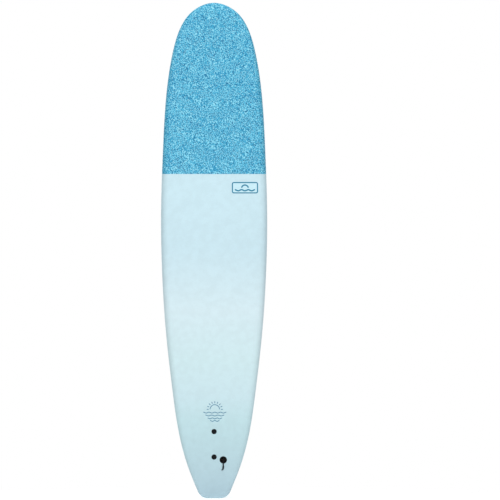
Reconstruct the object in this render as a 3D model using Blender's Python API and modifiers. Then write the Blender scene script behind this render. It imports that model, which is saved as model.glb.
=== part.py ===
"""A 9'0" soft-top longboard surfboard, built up in layers as the real one is.

The board stands on its tail block. Its nose points to +Z, its deck faces -Y and its fin points to +Y.
The origin is the centre of the tail block's flat end face. All sizes are in metres.

From the outside in, the layers are the deck skin (deck, rails and tail end), the bottom slick with its
backing foam, a thin reinforcing laminate, and a foam core with two wooden stringers. Every layer lies
between two copies of the same lofted surface, at different depths.
"""

import math

import bmesh
import bpy
import numpy as np
from mathutils import Matrix, Vector

MM = 0.001
INCH = 0.0254
GAP = 0.3 * MM

# --- Outline, seen from the deck -------------------------------------------------------------------------
LENGTH = 108 * INCH
# Stations of the outline: distance from the nose and half width, in millimetres.
OUTLINE_STATIONS = (
    (0, 0), (22, 82), (60, 134), (125, 180), (265, 227), (490, 263), (820, 284), (1180, 294.5),
    (1480, 289), (1815, 268), (2145, 231), (2370, 197.5), (2590, 137),
)  # fmt: skip
TAIL_CORNER_RADIUS = 60 * MM
TAIL_FLAT_HALF_WIDTH = 35 * MM
TAIL_SIDE_ANGLE = math.radians(21.8)  # between the outline and the centreline, where the corner arc starts

# --- Rocker, thickness and rails -------------------------------------------------------------------------
NOSE_ROCKER, NOSE_ROCKER_POWER = 115 * MM, 2.7
TAIL_ROCKER, TAIL_ROCKER_POWER = 50 * MM, 2.3
ROCKER_LOW_POINT = 1.20
THICKNESS_MIDDLE, THICKNESS_NOSE, THICKNESS_TAIL = 82 * MM, 30 * MM, 36 * MM
THICKEST_POINT = 1.45
NOSE_FOIL_POWER, TAIL_FOIL_POWER = 2.6, 2.4
DECK_CROWN_RADIUS = 4.8
RAIL_APEX_SHARE, TAIL_APEX_SHARE = 0.42, 0.50  # height of the rail's outermost line, as a share of thickness
RAIL_FACE_SHARE, TAIL_FACE_SHARE = 0.08, 0.27  # half height of the upright face there
RAIL_WIDTH_TO_HEIGHT = 1.1
TAIL_EDGE_RADIUS = 8 * MM
PATCH_INSET = 44 * MM  # where the rails end and the flat deck and bottom begin

# --- Layers: (depth of the outer face, thickness) --------------------------------------------------------
DECK_SKIN = (0.0, 5.0 * MM)
SLICK = (0.0, 1.2 * MM)
BOTTOM_FOAM = (1.5 * MM, 3.5 * MM)
LAMINATE = (5.3 * MM, 0.8 * MM)
CORE_DEPTH = 6.6 * MM
WRAP_WIDTH, WRAP_EXTRA_AT_TAIL = 12 * MM, 4.5 * MM  # how far the deck skin reaches in under the board
BAND_WIDTH = 10.5 * MM
NOSE_SHEET_LENGTH = 947 * MM  # the printed sheet of the deck skin, from the nose
STRINGER_OFFSET, STRINGER_WIDTH = 92 * MM, 5 * MM

# --- Fin, its screws and the leash plug, as distances from the tail end ----------------------------------
SCREW_STATIONS = {"rear": 228 * MM, "front": 369 * MM}
HEAD_RADIUS, HEAD_HEIGHT, HEAD_SEAT = 14.4 * MM, 3.2 * MM, 0.6 * MM
SHANK_RADIUS, SHANK_LENGTH = 4.0 * MM, 44 * MM
COIN_SLOT = (17 * MM, 2.6 * MM, 1.5 * MM)
WASHER_RADIUS, WASHER_THICKNESS = 12.0 * MM, 1.5 * MM
SLEEVE_RADIUS, SLEEVE_BORE, SLEEVE_FLANGE_RADIUS, SLEEVE_FLANGE = 9.5 * MM, 7.8 * MM, 13.0 * MM, 1.5 * MM
POST_RADIUS, POST_HEIGHT, POST_BORE_DEPTH = 7.4 * MM, 27 * MM, 23 * MM
INSERT_RADIUS, INSERT_BORE, INSERT_LENGTH = 5.5 * MM, 4.3 * MM, 16 * MM
FIN_CENTRE = 287.5 * MM
FLANGE_LENGTH, FLANGE_WIDTH, FLANGE_THICKNESS, FLANGE_CORNER = 236 * MM, 36.5 * MM, 4.5 * MM, 10 * MM
FIN_DEPTH, FIN_ROOT_THICKNESS, FIN_TIP_THICKNESS = 205 * MM, 9 * MM, 4 * MM
PLUG_X, PLUG_Z = 51 * MM, 212 * MM
PLUG_FLANGE_RADIUS, PLUG_FLANGE_SEAT, PLUG_FLANGE_TOP = 20.2 * MM, 1.2 * MM, 1.2 * MM
CUP_RADIUS, CUP_BORE, CUP_FLOOR, CUP_BASE = 15 * MM, 12.5 * MM, 22 * MM, 24.5 * MM
PIN_RADIUS, PIN_HALF_LENGTH, PIN_DEPTH = 2.5 * MM, 13.4 * MM, 9 * MM
STRING_DIAMETER = 3.4 * MM

ROUND_STEPS = 24
SURFACE_COLUMNS, SURFACE_ROWS = 6, 26  # across and along the lofted surface
RAIL_STEPS = 3  # from the deck down to the rail's face


# --- The lofted surface ----------------------------------------------------------------------------------
def clamped_spline(points, start_direction, end_direction, per_span):
    """Points of a cubic spline through these points, timed by chord length, with both end directions set."""
    points = np.array(points, float)
    spans = np.linalg.norm(np.diff(points, axis=0), axis=1)
    count = len(points)
    system, sides = np.zeros((count, count)), np.zeros((count, 2))
    system[0, 0] = system[-1, -1] = 1.0
    sides[0], sides[-1] = start_direction, end_direction
    for i in range(1, count - 1):
        before, after = spans[i - 1], spans[i]
        system[i, i - 1 : i + 2] = after, 2 * (before + after), before
        slope_in = (points[i] - points[i - 1]) / before
        slope_out = (points[i + 1] - points[i]) / after
        sides[i] = 3 * (after * slope_in + before * slope_out)
    slopes = np.linalg.solve(system, sides)
    made = [points[0]]
    for i, span in enumerate(spans):
        for t in np.linspace(0, 1, per_span + 1)[1:]:
            made.append(
                (2 * t**3 - 3 * t**2 + 1) * points[i]
                + (t**3 - 2 * t**2 + t) * span * slopes[i]
                + (3 * t**2 - 2 * t**3) * points[i + 1]
                + (t**3 - t**2) * span * slopes[i + 1]
            )
    return np.array(made)


def half_outline():
    """The right half of the outline as dense (x, z) points, from the nose tip to the tail's flat end."""
    turn = math.pi / 2 - TAIL_SIDE_ANGLE
    arc_x, arc_z = TAIL_FLAT_HALF_WIDTH, TAIL_CORNER_RADIUS
    stations = [(half * MM, LENGTH - from_nose * MM) for from_nose, half in OUTLINE_STATIONS]
    arc = [
        (arc_x + TAIL_CORNER_RADIUS * math.sin(a), arc_z - TAIL_CORNER_RADIUS * math.cos(a))
        for a in np.linspace(turn, 0, 24)
    ]
    along_side = (-math.sin(TAIL_SIDE_ANGLE), -math.cos(TAIL_SIDE_ANGLE))
    side = clamped_spline([*stations, arc[0]], (1.0, 0.0), along_side, 40)
    return np.vstack([side, arc[1:]])


def along(curve, shares):
    """Points of a polyline at these shares of its length, and the outward normals there."""
    lengths = np.concatenate([[0], np.cumsum(np.linalg.norm(np.diff(curve, axis=0), axis=1))])
    at = np.array(shares) * lengths[-1]
    points = np.column_stack([np.interp(at, lengths, curve[:, k]) for k in (0, 1)])
    tangents = np.gradient(curve, lengths, axis=0)
    tangents = np.column_stack([np.interp(at, lengths, tangents[:, k]) for k in (0, 1)])
    normals = np.column_stack([-tangents[:, 1], tangents[:, 0]])
    return points, normals / np.linalg.norm(normals, axis=1)[:, None]


def perimeter():
    """The whole outline as (points, outward normals), clockwise from the nose's left corner.

    It has four sides, nose, right, tail and left, which meet where the outline runs at 45 degrees.
    """
    curve = half_outline()
    slope = np.degrees(np.arctan2(-np.gradient(curve[:, 1]), np.gradient(curve[:, 0])))
    nose_corner = int(np.argmax(slope > 45))
    tail_corner = int(len(slope) - 1 - np.argmax((slope < 135)[::-1]))
    halves = SURFACE_COLUMNS // 2
    nose = along(curve[: nose_corner + 1], np.linspace(0, 1, halves + 1))
    steps = np.linspace(0, 1, SURFACE_ROWS + 1)
    crowded = 0.85 * (1 - np.cos(np.pi * steps)) / 2 + 0.15 * steps
    side = along(curve[nose_corner : tail_corner + 1], crowded)
    corner = along(curve[tail_corner:], np.linspace(0, 1, halves))
    tail = [np.vstack([corner[0], [[0.0, 0.0]]]), np.vstack([corner[1], [[0.0, -1.0]]])]
    tail[1][-2] = (0.0, -1.0)
    half = [np.vstack([nose[k], side[k][1:], tail[k][1:]]) for k in (0, 1)]
    mirrored = [h[-2:0:-1] * (-1, 1) for h in half]
    whole = [np.vstack([half[k], mirrored[k]]) for k in (0, 1)]
    shift = -halves
    return [np.roll(w, -shift, axis=0) for w in whole]


def bottom_y(z):
    """The bottom's height towards +Y. It is lowest in the middle and curves towards the deck at both ends."""
    if z < ROCKER_LOW_POINT:
        lift = TAIL_ROCKER * ((ROCKER_LOW_POINT - z) / ROCKER_LOW_POINT) ** TAIL_ROCKER_POWER
    else:
        lift = NOSE_ROCKER * ((z - ROCKER_LOW_POINT) / (LENGTH - ROCKER_LOW_POINT)) ** NOSE_ROCKER_POWER
    return THICKNESS_TAIL / 2 + TAIL_ROCKER - lift


def thickness(z):
    if z < THICKEST_POINT:
        share, power, end = (THICKEST_POINT - z) / THICKEST_POINT, TAIL_FOIL_POWER, THICKNESS_TAIL
    else:
        share, power, end = (z - THICKEST_POINT) / (LENGTH - THICKEST_POINT), NOSE_FOIL_POWER, THICKNESS_NOSE
    return THICKNESS_MIDDLE - (THICKNESS_MIDDLE - end) * min(share, 1.0) ** power


def deck_y(x, z):
    return bottom_y(z) - thickness(z) + x * x / (2 * DECK_CROWN_RADIUS)


def tail_share(normal):
    """0 along the sides and the nose, and 1 on the tail's flat end, where the edge is squarer."""
    t = min(max((-normal[1] - 0.4) / 0.6, 0.0), 1.0)
    return t * t * (3 - 2 * t)


def mix(a, b, share):
    return a + (b - a) * share


def rail_sections(points, normals, depth):
    """For each outline point, the section of the surface at this depth inside the board, as a list of points.

    It runs from the deck's edge, round the rail, to the bottom's edge. The rail is a quarter ellipse from the
    deck to an upright face, and another from there to the bottom.
    """
    sections = []
    for (x, z), normal in zip(points, normals, strict=True):
        tail = tail_share(normal)
        edge_thickness = bottom_y(z) - deck_y(x, z)
        apex = bottom_y(z) - mix(RAIL_APEX_SHARE, TAIL_APEX_SHARE, tail) * edge_thickness
        face = mix(RAIL_FACE_SHARE, TAIL_FACE_SHARE, tail) * edge_thickness
        upper, lower = apex - face, apex + face
        upper_width = mix(RAIL_WIDTH_TO_HEIGHT * (upper - deck_y(x, z)), TAIL_EDGE_RADIUS, tail) - depth
        lower_width = mix(RAIL_WIDTH_TO_HEIGHT * (bottom_y(z) - lower), TAIL_EDGE_RADIUS, tail) - depth
        wrap = mix(WRAP_WIDTH, WRAP_WIDTH + WRAP_EXTRA_AT_TAIL, tail)
        angles = [math.pi / 2 * k / RAIL_STEPS for k in range(RAIL_STEPS)]
        upper_insets = [depth + upper_width * (1 - math.cos(angle)) for angle in reversed(angles)]
        lower_insets = [
            depth,
            depth + lower_width * (1 - math.cos(angles[1])),
            wrap,
            wrap + GAP,
            wrap + BAND_WIDTH,
            wrap + BAND_WIDTH + GAP,
            PATCH_INSET,
        ]
        section = []
        for insets, start, width, level in (
            ([PATCH_INSET, *upper_insets], upper, upper_width, lambda px, pz: deck_y(px, pz) + depth),
            (lower_insets, lower, lower_width, lambda _, pz: bottom_y(pz) - depth),
        ):
            for inset in insets:
                px, pz = x - normal[0] * inset, z - normal[1] * inset
                rise = math.sqrt(1 - max(1 - (inset - depth) / width, 0.0) ** 2)
                section.append((px, mix(start, level(px, pz), rise), pz))
        sections.append(section)
    return sections


def patch(ring):
    """A grid of (x, z) places inside a ring: rows from the nose to the tail, columns from left to right."""
    plan = np.array([(p[0], p[2]) for p in ring])
    columns, rows = SURFACE_COLUMNS, SURFACE_ROWS
    nose = plan[: columns + 1]
    right = plan[columns : columns + rows + 1]
    tail = plan[columns + rows : 2 * columns + rows + 1][::-1]
    left = np.vstack([plan[2 * columns + rows :], plan[:1]])[::-1]
    grid = []
    for i in range(rows + 1):
        to_tail, to_nose = (i / rows) ** 4, (1 - i / rows) ** 4
        line = []
        for j in range(columns + 1):
            across = j / columns
            ends = mix(nose[0], nose[-1], across) * to_nose + mix(tail[0], tail[-1], across) * to_tail
            sides = mix(left[i], right[i], across)
            line.append(nose[j] * to_nose + tail[j] * to_tail + sides - ends)
        grid.append(line)
    return grid


# The strips round the board, from the deck's edge to the bottom's edge. The two thin ones between the deck
# skin, the white band and the slick are gaps, which belong to no layer.
FACE_STRIP = RAIL_STEPS
TURN_STRIP, WRAP_STRIP, _, BAND_STRIP, _, SLICK_STRIP = range(FACE_STRIP + 1, FACE_STRIP + 7)
DECK_SIDE = ("deck", *range(WRAP_STRIP + 1))
BAND_SIDE = (BAND_STRIP,)
SLICK_SIDE = (SLICK_STRIP, "bottom")
BOTTOM_SIDE = (*range(BAND_STRIP, SLICK_STRIP + 1), "bottom")


def board_surface(depth):
    """The closed surface at this depth inside the board as (vertices, {region: triangles}).

    A region is "deck", "bottom" or a strip's number. Surfaces at different depths have the same triangles,
    so layers between them never touch.
    """
    sections = rail_sections(*perimeter(), depth)
    around, levels = len(sections), len(sections[0])
    vertices = [point for section in sections for point in section]
    quads = {
        level: [
            (
                i * levels + level,
                (i + 1) % around * levels + level,
                (i + 1) % around * levels + level + 1,
                i * levels + level + 1,
            )
            for i in range(around)
        ]
        for level in range(levels - 1)
    }
    for name, level in (("deck", 0), ("bottom", levels - 1)):
        grid = patch([section[level] for section in sections])
        index = {}
        for i, line in enumerate(grid):
            for j, (x, z) in enumerate(line):
                on_ring = ring_position(i, j)
                if on_ring is None:
                    index[i, j] = len(vertices)
                    y = deck_y(x, z) + depth if name == "deck" else bottom_y(z) - depth
                    vertices.append((x, y, z))
                else:
                    index[i, j] = on_ring % around * levels + level
        cells = [
            (index[i, j], index[i, j + 1], index[i + 1, j + 1], index[i + 1, j])
            for i in range(SURFACE_ROWS)
            for j in range(SURFACE_COLUMNS)
        ]
        quads[name] = [cell[::-1] for cell in cells] if name == "deck" else cells
    return vertices, {
        region: [half for a, b, c, d in cells for half in ((a, b, c), (a, c, d))]
        for region, cells in quads.items()
    }


def ring_position(i, j):
    """Where a patch's boundary point lies in the ring round it, or None inside the patch."""
    columns, rows = SURFACE_COLUMNS, SURFACE_ROWS
    if i == 0:
        return j
    if j == columns:
        return columns + i
    if i == rows:
        return columns + rows + (columns - j)
    if j == 0:
        return 2 * columns + 2 * rows - i
    return None


# --- Making objects --------------------------------------------------------------------------------------
def clear_scene():
    for obj in list(bpy.data.objects):
        bpy.data.objects.remove(obj, do_unlink=True)


def new_collection(name):
    made = bpy.data.collections.new(name)
    bpy.context.scene.collection.children.link(made)
    return made


def material(name, colour, roughness, metallic=0.0):
    made = bpy.data.materials.get(name)
    if made is None:
        made = bpy.data.materials.new(name)
        made.use_nodes = True
        shader = made.node_tree.nodes["Principled BSDF"]
        shader.inputs["Base Color"].default_value = (*colour, 1.0)
        shader.inputs["Roughness"].default_value = roughness
        shader.inputs["Metallic"].default_value = metallic
    return made


PRINTED_FOAM = ("printed_foam", (0.13, 0.47, 0.69), 0.65)
PALE_FOAM = ("pale_foam", (0.60, 0.82, 0.89), 0.65)
WHITE_FILM = ("white_film", (0.83, 0.95, 1.0), 0.35)
SLICK_SHEET = ("slick_sheet", (0.32, 0.70, 0.83), 0.30)
BACKING_FOAM = ("backing_foam", (0.85, 0.87, 0.88), 0.80)
GLASS_LAMINATE = ("laminate", (0.72, 0.76, 0.70), 0.45)
CORE_FOAM = ("core_foam", (0.92, 0.92, 0.90), 0.85)
STRINGER_WOOD = ("stringer_wood", (0.58, 0.38, 0.20), 0.60)
BLACK_PLASTIC = ("black_plastic", (0.010, 0.012, 0.015), 0.38)
FIN_PLASTIC = ("fin_plastic", (0.016, 0.015, 0.014), 0.45)
BRASS = ("brass", (0.71, 0.53, 0.22), 0.30, 1.0)
STAINLESS = ("stainless", (0.62, 0.63, 0.65), 0.25, 1.0)
BLACK_RUBBER = ("black_rubber", (0.012, 0.012, 0.012), 0.70)
BLACK_CORD = ("black_cord", (0.012, 0.013, 0.016), 0.80)


def new_object(name, mesh, collection, look):
    made = bpy.data.objects.new(name, mesh)
    collection.objects.link(made)
    mesh.materials.append(material(*look))
    return made


def new_mesh(name, vertices, faces):
    mesh = bpy.data.meshes.new(name)
    mesh.from_pydata([tuple(v) for v in vertices], [], faces)
    mesh.validate()
    mesh.update()
    return mesh


def as_cutter(obj):
    obj.hide_render = True
    obj.display_type = "WIRE"
    return obj


def subtract(obj, *cutters):
    for cutter in cutters:
        modifier = obj.modifiers.new(f"cut_{cutter.name}", "BOOLEAN")
        modifier.operation = "DIFFERENCE"
        modifier.object = cutter


def unite(obj, *others):
    for other in others:
        modifier = obj.modifiers.new(f"join_{other.name}", "BOOLEAN")
        modifier.operation = "UNION"
        modifier.object = other


def keep_inside(obj, other):
    modifier = obj.modifiers.new(f"keep_{other.name}", "BOOLEAN")
    modifier.operation = "INTERSECT"
    modifier.object = other


def shade_round(mesh, degrees=35):
    mesh.shade_smooth()
    mesh.set_sharp_from_angle(angle=math.radians(degrees))


def box(name, low, high, collection, look=BLACK_PLASTIC):
    """A box between two corners."""
    bpy.ops.mesh.primitive_cube_add(size=1.0)
    made = bpy.context.active_object
    made.name = made.data.name = name
    low, high = Vector(low), Vector(high)
    made.data.transform(Matrix.Translation((low + high) / 2) @ Matrix.Diagonal((*(high - low), 1.0)))
    for holder in list(made.users_collection):
        holder.objects.unlink(made)
    collection.objects.link(made)
    made.data.materials.append(material(*look))
    return made


def turned(name, profile, at, collection, look, steps=ROUND_STEPS):
    """A turned piece on an axis along Y, from a profile of (radius, height) points.

    Height is towards -Y from the point "at". The profile runs down the outer side, and it is a ring's closed
    section if none of its points is on the axis.
    """
    closed = all(radius > 0 for radius, _ in profile)
    count = len(profile)
    edges = [(i, (i + 1) % count) for i in range(count if closed else count - 1)]
    mesh = bpy.data.meshes.new(name)
    mesh.from_pydata([(radius, 0.0, height) for radius, height in profile], edges, [])
    made = new_object(name, mesh, collection, look)
    screw = made.modifiers.new("turn", "SCREW")
    screw.axis = "Z"
    screw.steps = screw.render_steps = steps
    screw.use_merge_vertices = True
    screw.merge_threshold = 0.00001
    screw.use_smooth_shade = True
    made.location = at
    made.rotation_euler = (math.pi / 2, 0.0, 0.0)
    return made


def rod_along_x(name, centre, radius, half_length, collection, look):
    bpy.ops.mesh.primitive_cylinder_add(vertices=ROUND_STEPS, radius=radius, depth=2 * half_length)
    made = bpy.context.active_object
    made.name = made.data.name = name
    made.data.transform(Matrix.Rotation(math.pi / 2, 4, "Y"))
    made.location = centre
    for holder in list(made.users_collection):
        holder.objects.unlink(made)
    collection.objects.link(made)
    made.data.materials.append(material(*look))
    shade_round(made.data)
    return made


def loft(name, sections, collection, look):
    """A closed body through sections, which are loops of equally many points, with a flat cap at each end."""
    count = len(sections[0])
    vertices = [point for section in sections for point in section]
    faces = [tuple(range(count)), tuple(reversed(range(len(vertices) - count, len(vertices))))]
    for k in range(len(sections) - 1):
        first, second = k * count, (k + 1) * count
        for i in range(count):
            j = (i + 1) % count
            faces.append((first + i, second + i, second + j, first + j))
    mesh = new_mesh(name, vertices, faces)
    work = bmesh.new()
    work.from_mesh(mesh)
    bmesh.ops.recalc_face_normals(work, faces=work.faces)
    work.to_mesh(mesh)
    work.free()
    shade_round(mesh)
    return new_object(name, mesh, collection, look)


# --- Layers of the board ---------------------------------------------------------------------------------
def layer(name, regions, depth_and_thickness, collection, look):
    """One layer of the board: the surfaces at its two depths over some regions, joined at their borders."""
    depth, thick = depth_and_thickness
    outer, faces = board_surface(depth)
    inner, _ = board_surface(depth + thick)
    skin = [face for region in regions for face in faces[region]]
    count = len(outer)
    edges = {(a, b) for face in skin for a, b in zip(face, face[1:] + face[:1], strict=True)}
    border = sorted((a, b) for a, b in edges if (b, a) not in edges)
    shell = skin + [tuple(v + count for v in reversed(face)) for face in skin]
    shell += [(b, a, a + count, b + count) for a, b in border]
    return layer_object(name, [*outer, *inner], shell, collection, look)


def core_piece(name, left, right, collection, helpers, look):
    """What lies between two upright planes inside the laminate."""
    vertices, faces = board_surface(CORE_DEPTH)
    made = layer_object(name, vertices, [f for region in faces.values() for f in region], collection, look)
    keep_inside(made, slab(f"cutter_{name}", (left, -0.1), (right, LENGTH + 0.1), helpers))
    return made


def layer_object(name, vertices, faces, collection, look):
    used = sorted({v for face in faces for v in face})
    place = {v: i for i, v in enumerate(used)}
    mesh = new_mesh(name, [vertices[v] for v in used], [tuple(place[v] for v in face) for face in faces])
    shade_round(mesh)
    return new_object(name, mesh, collection, look)


def slab(name, low, high, collection):
    """A cutter as deep as the board between two (x, z) corners."""
    return as_cutter(box(name, (low[0], -0.2, low[1]), (high[0], 0.2, high[1]), collection))


def build_layers(parts, helpers):
    """The skins, laminates, core blanks and stringers, as {name: object}."""
    made = {}
    seam, far = LENGTH - NOSE_SHEET_LENGTH, 0.4
    for name, look, low, high in (
        ("deck_skin_nose", PRINTED_FOAM, seam + GAP / 2, LENGTH + 0.1),
        ("deck_skin_main", PALE_FOAM, -0.1, seam - GAP / 2),
    ):
        made[name] = layer(name, DECK_SIDE, DECK_SKIN, parts, look)
        keep_inside(made[name], slab(f"cutter_{name}", (-far, low), (far, high), helpers))
    for name, regions, depths, look in (
        ("edge_band", BAND_SIDE, SLICK, WHITE_FILM),
        ("slick_bottom", SLICK_SIDE, SLICK, SLICK_SHEET),
        ("bottom_foam", BOTTOM_SIDE, BOTTOM_FOAM, BACKING_FOAM),
        ("deck_laminate", DECK_SIDE, LAMINATE, GLASS_LAMINATE),
        ("bottom_laminate", BOTTOM_SIDE, LAMINATE, GLASS_LAMINATE),
    ):
        made[name] = layer(name, regions, depths, parts, look)

    half = STRINGER_WIDTH / 2
    strips = {
        "core_left": (-far, -STRINGER_OFFSET - half - GAP, CORE_FOAM),
        "stringer_left": (-STRINGER_OFFSET - half, -STRINGER_OFFSET + half, STRINGER_WOOD),
        "core_centre": (-STRINGER_OFFSET + half + GAP, STRINGER_OFFSET - half - GAP, CORE_FOAM),
        "stringer_right": (STRINGER_OFFSET - half, STRINGER_OFFSET + half, STRINGER_WOOD),
        "core_right": (STRINGER_OFFSET + half + GAP, far, CORE_FOAM),
    }
    for name, (left, right, look) in strips.items():
        made[name] = core_piece(name, left, right, parts, helpers, look)
    return made


# --- Fin screws, their sleeves and the leash plug --------------------------------------------------------
def build_screw_set(side, station, parts, helpers):
    """A sleeve through the board, a sealing washer and a screw. Returns the cutter for the sleeve's hole."""
    top = deck_y(0.0, station)
    through = bottom_y(station) - top
    at = (0.0, top, station)
    washer_top = -HEAD_SEAT - GAP
    washer_base = washer_top - WASHER_THICKNESS
    flange_top = washer_base - GAP
    flange_base = flange_top - SLEEVE_FLANGE
    sleeve_end = -through + 1.0 * MM
    turned(
        f"fin_sleeve_{side}",
        [
            (SLEEVE_FLANGE_RADIUS, flange_top),
            (SLEEVE_FLANGE_RADIUS, flange_base),
            (SLEEVE_RADIUS, flange_base),
            (SLEEVE_RADIUS, sleeve_end),
            (SLEEVE_BORE, sleeve_end),
            (SLEEVE_BORE, flange_top),
        ],
        at, parts, BLACK_PLASTIC,
    )  # fmt: skip
    turned(
        f"fin_washer_{side}",
        [
            (WASHER_RADIUS, washer_top),
            (WASHER_RADIUS, washer_base),
            (SHANK_RADIUS + GAP, washer_base),
            (SHANK_RADIUS + GAP, washer_top),
        ],
        at, parts, BLACK_RUBBER,
    )  # fmt: skip
    head_top = HEAD_HEIGHT - HEAD_SEAT
    screw = turned(
        f"fin_screw_{side}",
        [
            (0.0, head_top),
            (0.62 * HEAD_RADIUS, head_top - 0.15 * MM),
            (0.9 * HEAD_RADIUS, head_top - 0.8 * MM),
            (HEAD_RADIUS, head_top - 2.0 * MM),
            (HEAD_RADIUS, -HEAD_SEAT),
            (SHANK_RADIUS, -HEAD_SEAT),
            (SHANK_RADIUS, -SHANK_LENGTH + 1.5 * MM),
            (SHANK_RADIUS - 1.5 * MM, -SHANK_LENGTH),
            (0.0, -SHANK_LENGTH),
        ],
        at, parts, BLACK_PLASTIC,
    )  # fmt: skip
    long, wide, deep = COIN_SLOT
    slot = as_cutter(
        box(
            f"cutter_slot_{side}",
            (-long / 2, top - head_top - 1 * MM, station - wide / 2),
            (long / 2, top - head_top + deep, station + wide / 2),
            helpers,
        )
    )
    subtract(screw, slot)
    clear = 20 * MM
    hole = turned(
        f"cutter_sleeve_{side}",
        [
            (0.0, clear),
            (HEAD_RADIUS + GAP, clear),
            (HEAD_RADIUS + GAP, -HEAD_SEAT - GAP),
            (SLEEVE_FLANGE_RADIUS + GAP, -HEAD_SEAT - GAP),
            (SLEEVE_FLANGE_RADIUS + GAP, flange_base - GAP),
            (SLEEVE_RADIUS + GAP, flange_base - GAP),
            (SLEEVE_RADIUS + GAP, -through - clear),
            (0.0, -through - clear),
        ],
        at, helpers, BLACK_PLASTIC,
    )  # fmt: skip
    return as_cutter(hole)


def build_leash_plug(parts, helpers):
    """The cup, its cross pin and the string with its knot. Returns the cutter for the cup's hole."""
    at = (PLUG_X, deck_y(PLUG_X, PLUG_Z), PLUG_Z)
    cup = turned(
        "leash_cup",
        [
            (0.0, -CUP_FLOOR),
            (CUP_BORE - 2 * MM, -CUP_FLOOR),
            (CUP_BORE, -CUP_FLOOR + 2 * MM),
            (CUP_BORE, PLUG_FLANGE_TOP - 1.2 * MM),
            (CUP_BORE + 1.2 * MM, PLUG_FLANGE_TOP),
            (PLUG_FLANGE_RADIUS - 1.6 * MM, PLUG_FLANGE_TOP),
            (PLUG_FLANGE_RADIUS, PLUG_FLANGE_TOP - 1.2 * MM),
            (PLUG_FLANGE_RADIUS, -PLUG_FLANGE_SEAT),
            (CUP_RADIUS, -PLUG_FLANGE_SEAT),
            (CUP_RADIUS, -CUP_BASE),
            (0.0, -CUP_BASE),
        ],
        at, parts, BLACK_PLASTIC, steps=32,
    )  # fmt: skip
    pin_centre = (PLUG_X, at[1] + PIN_DEPTH, PLUG_Z)
    rod_along_x("leash_pin", pin_centre, PIN_RADIUS, PIN_HALF_LENGTH, parts, STAINLESS)
    sockets = rod_along_x(
        "cutter_pin", pin_centre, PIN_RADIUS + GAP, PIN_HALF_LENGTH + GAP, helpers, STAINLESS
    )
    subtract(cup, as_cutter(sockets))
    build_string(at, parts, helpers)
    hole = turned(
        "cutter_plug",
        [
            (0.0, 20 * MM),
            (PLUG_FLANGE_RADIUS + GAP, 20 * MM),
            (PLUG_FLANGE_RADIUS + GAP, -PLUG_FLANGE_SEAT - GAP),
            (CUP_RADIUS + GAP, -PLUG_FLANGE_SEAT - GAP),
            (CUP_RADIUS + GAP, -CUP_BASE - GAP),
            (0.0, -CUP_BASE - GAP),
        ],
        at, helpers, BLACK_PLASTIC, steps=32,
    )  # fmt: skip
    return as_cutter(hole)


# The string's route from the knot, in over the rim, under the pin, over it and back out to the knot. Each
# point is (x, height over the deck, z) in millimetres from the middle of the plug.
STRING_ROUTE = (
    (-1.9, 2.4, -35.0), (-1.8, 2.7, -30.0), (-1.9, 3.5, -24.0), (-2.1, 3.9, -18.5), (-2.1, 2.7, -12.6),
    (-2.1, -1.6, -8.6), (-2.1, -7.0, -7.2), (-2.0, -12.6, -5.6), (-1.2, -16.0, -0.6), (0.6, -14.2, 5.2),
    (1.6, -8.8, 7.4), (2.0, -3.2, 5.8), (2.1, 0.9, 1.0), (2.1, 2.9, -5.4), (2.1, 4.0, -12.0),
    (2.1, 4.0, -18.5), (1.9, 3.5, -24.0), (1.8, 2.7, -30.0), (1.9, 2.4, -35.0),
)  # fmt: skip
KNOT_CENTRE = (0.2, 4.4, -39.6)
KNOT_HALF_SIZE = (6.2, 3.6, 4.3)
STRING_TAILS = (
    ((-1.5, 3.6, -41.0), (-3.6, 2.8, -47.0), (-6.4, 2.7, -52.6), (-8.4, 2.7, -58.0)),
    ((1.6, 3.6, -41.0), (1.4, 2.9, -47.5), (-0.8, 2.7, -53.0), (-3.6, 2.7, -57.6)),
)


def smooth_route(points, spacing):
    """Points this far apart on a Catmull-Rom curve through the route."""
    points = [Vector(p) for p in points]
    padded = [2 * points[0] - points[1], *points, 2 * points[-1] - points[-2]]
    fine = []
    for a, b, c, d in zip(padded, padded[1:], padded[2:], padded[3:], strict=False):
        for k in range(20):
            t = k / 20
            bend, twist = 2 * a - 5 * b + 4 * c - d, 3 * b - a - 3 * c + d
            fine.append(b + ((c - a) * t + bend * t**2 + twist * t**3) / 2)
    fine.append(points[-1])
    lengths = np.concatenate([[0], np.cumsum([(q - p).length for p, q in zip(fine, fine[1:], strict=False)])])
    count = max(2, round(lengths[-1] / spacing))
    at = np.linspace(0, lengths[-1], count + 1)
    table = np.array([tuple(p) for p in fine])
    return [tuple(np.interp(a, lengths, table[:, k]) for k in range(3)) for a in at]


def on_deck(point, origin):
    """A place given as (x, height over the deck, z) in millimetres from the plug, in the object's frame."""
    x, height, z = point
    return (origin[0] + x * MM, origin[1] - height * MM, origin[2] + z * MM)


def tube(name, points, diameter, collection, look):
    curve = bpy.data.curves.new(name, "CURVE")
    curve.dimensions = "3D"
    curve.bevel_depth = diameter / 2
    curve.bevel_resolution = 2
    curve.use_fill_caps = True
    line = curve.splines.new("POLY")
    line.points.add(len(points) - 1)
    for point, place in zip(line.points, points, strict=True):
        point.co = (*place, 1.0)
    made = bpy.data.objects.new(name, curve)
    collection.objects.link(made)
    curve.materials.append(material(*look))
    return made


def tube_mesh(name, points, diameter, collection, look):
    """The same tube as a closed mesh, for a Boolean."""
    curve = tube(name, points, diameter, collection, look)
    graph = bpy.context.evaluated_depsgraph_get()
    mesh = bpy.data.meshes.new_from_object(curve.evaluated_get(graph))
    work = bmesh.new()
    work.from_mesh(mesh)
    bmesh.ops.remove_doubles(work, verts=work.verts, dist=0.00001)
    work.to_mesh(mesh)
    work.free()
    matrix = curve.matrix_world.copy()
    bpy.data.objects.remove(curve, do_unlink=True)
    made = bpy.data.objects.new(name, mesh)
    made.matrix_world = matrix
    collection.objects.link(made)
    return made


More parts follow.
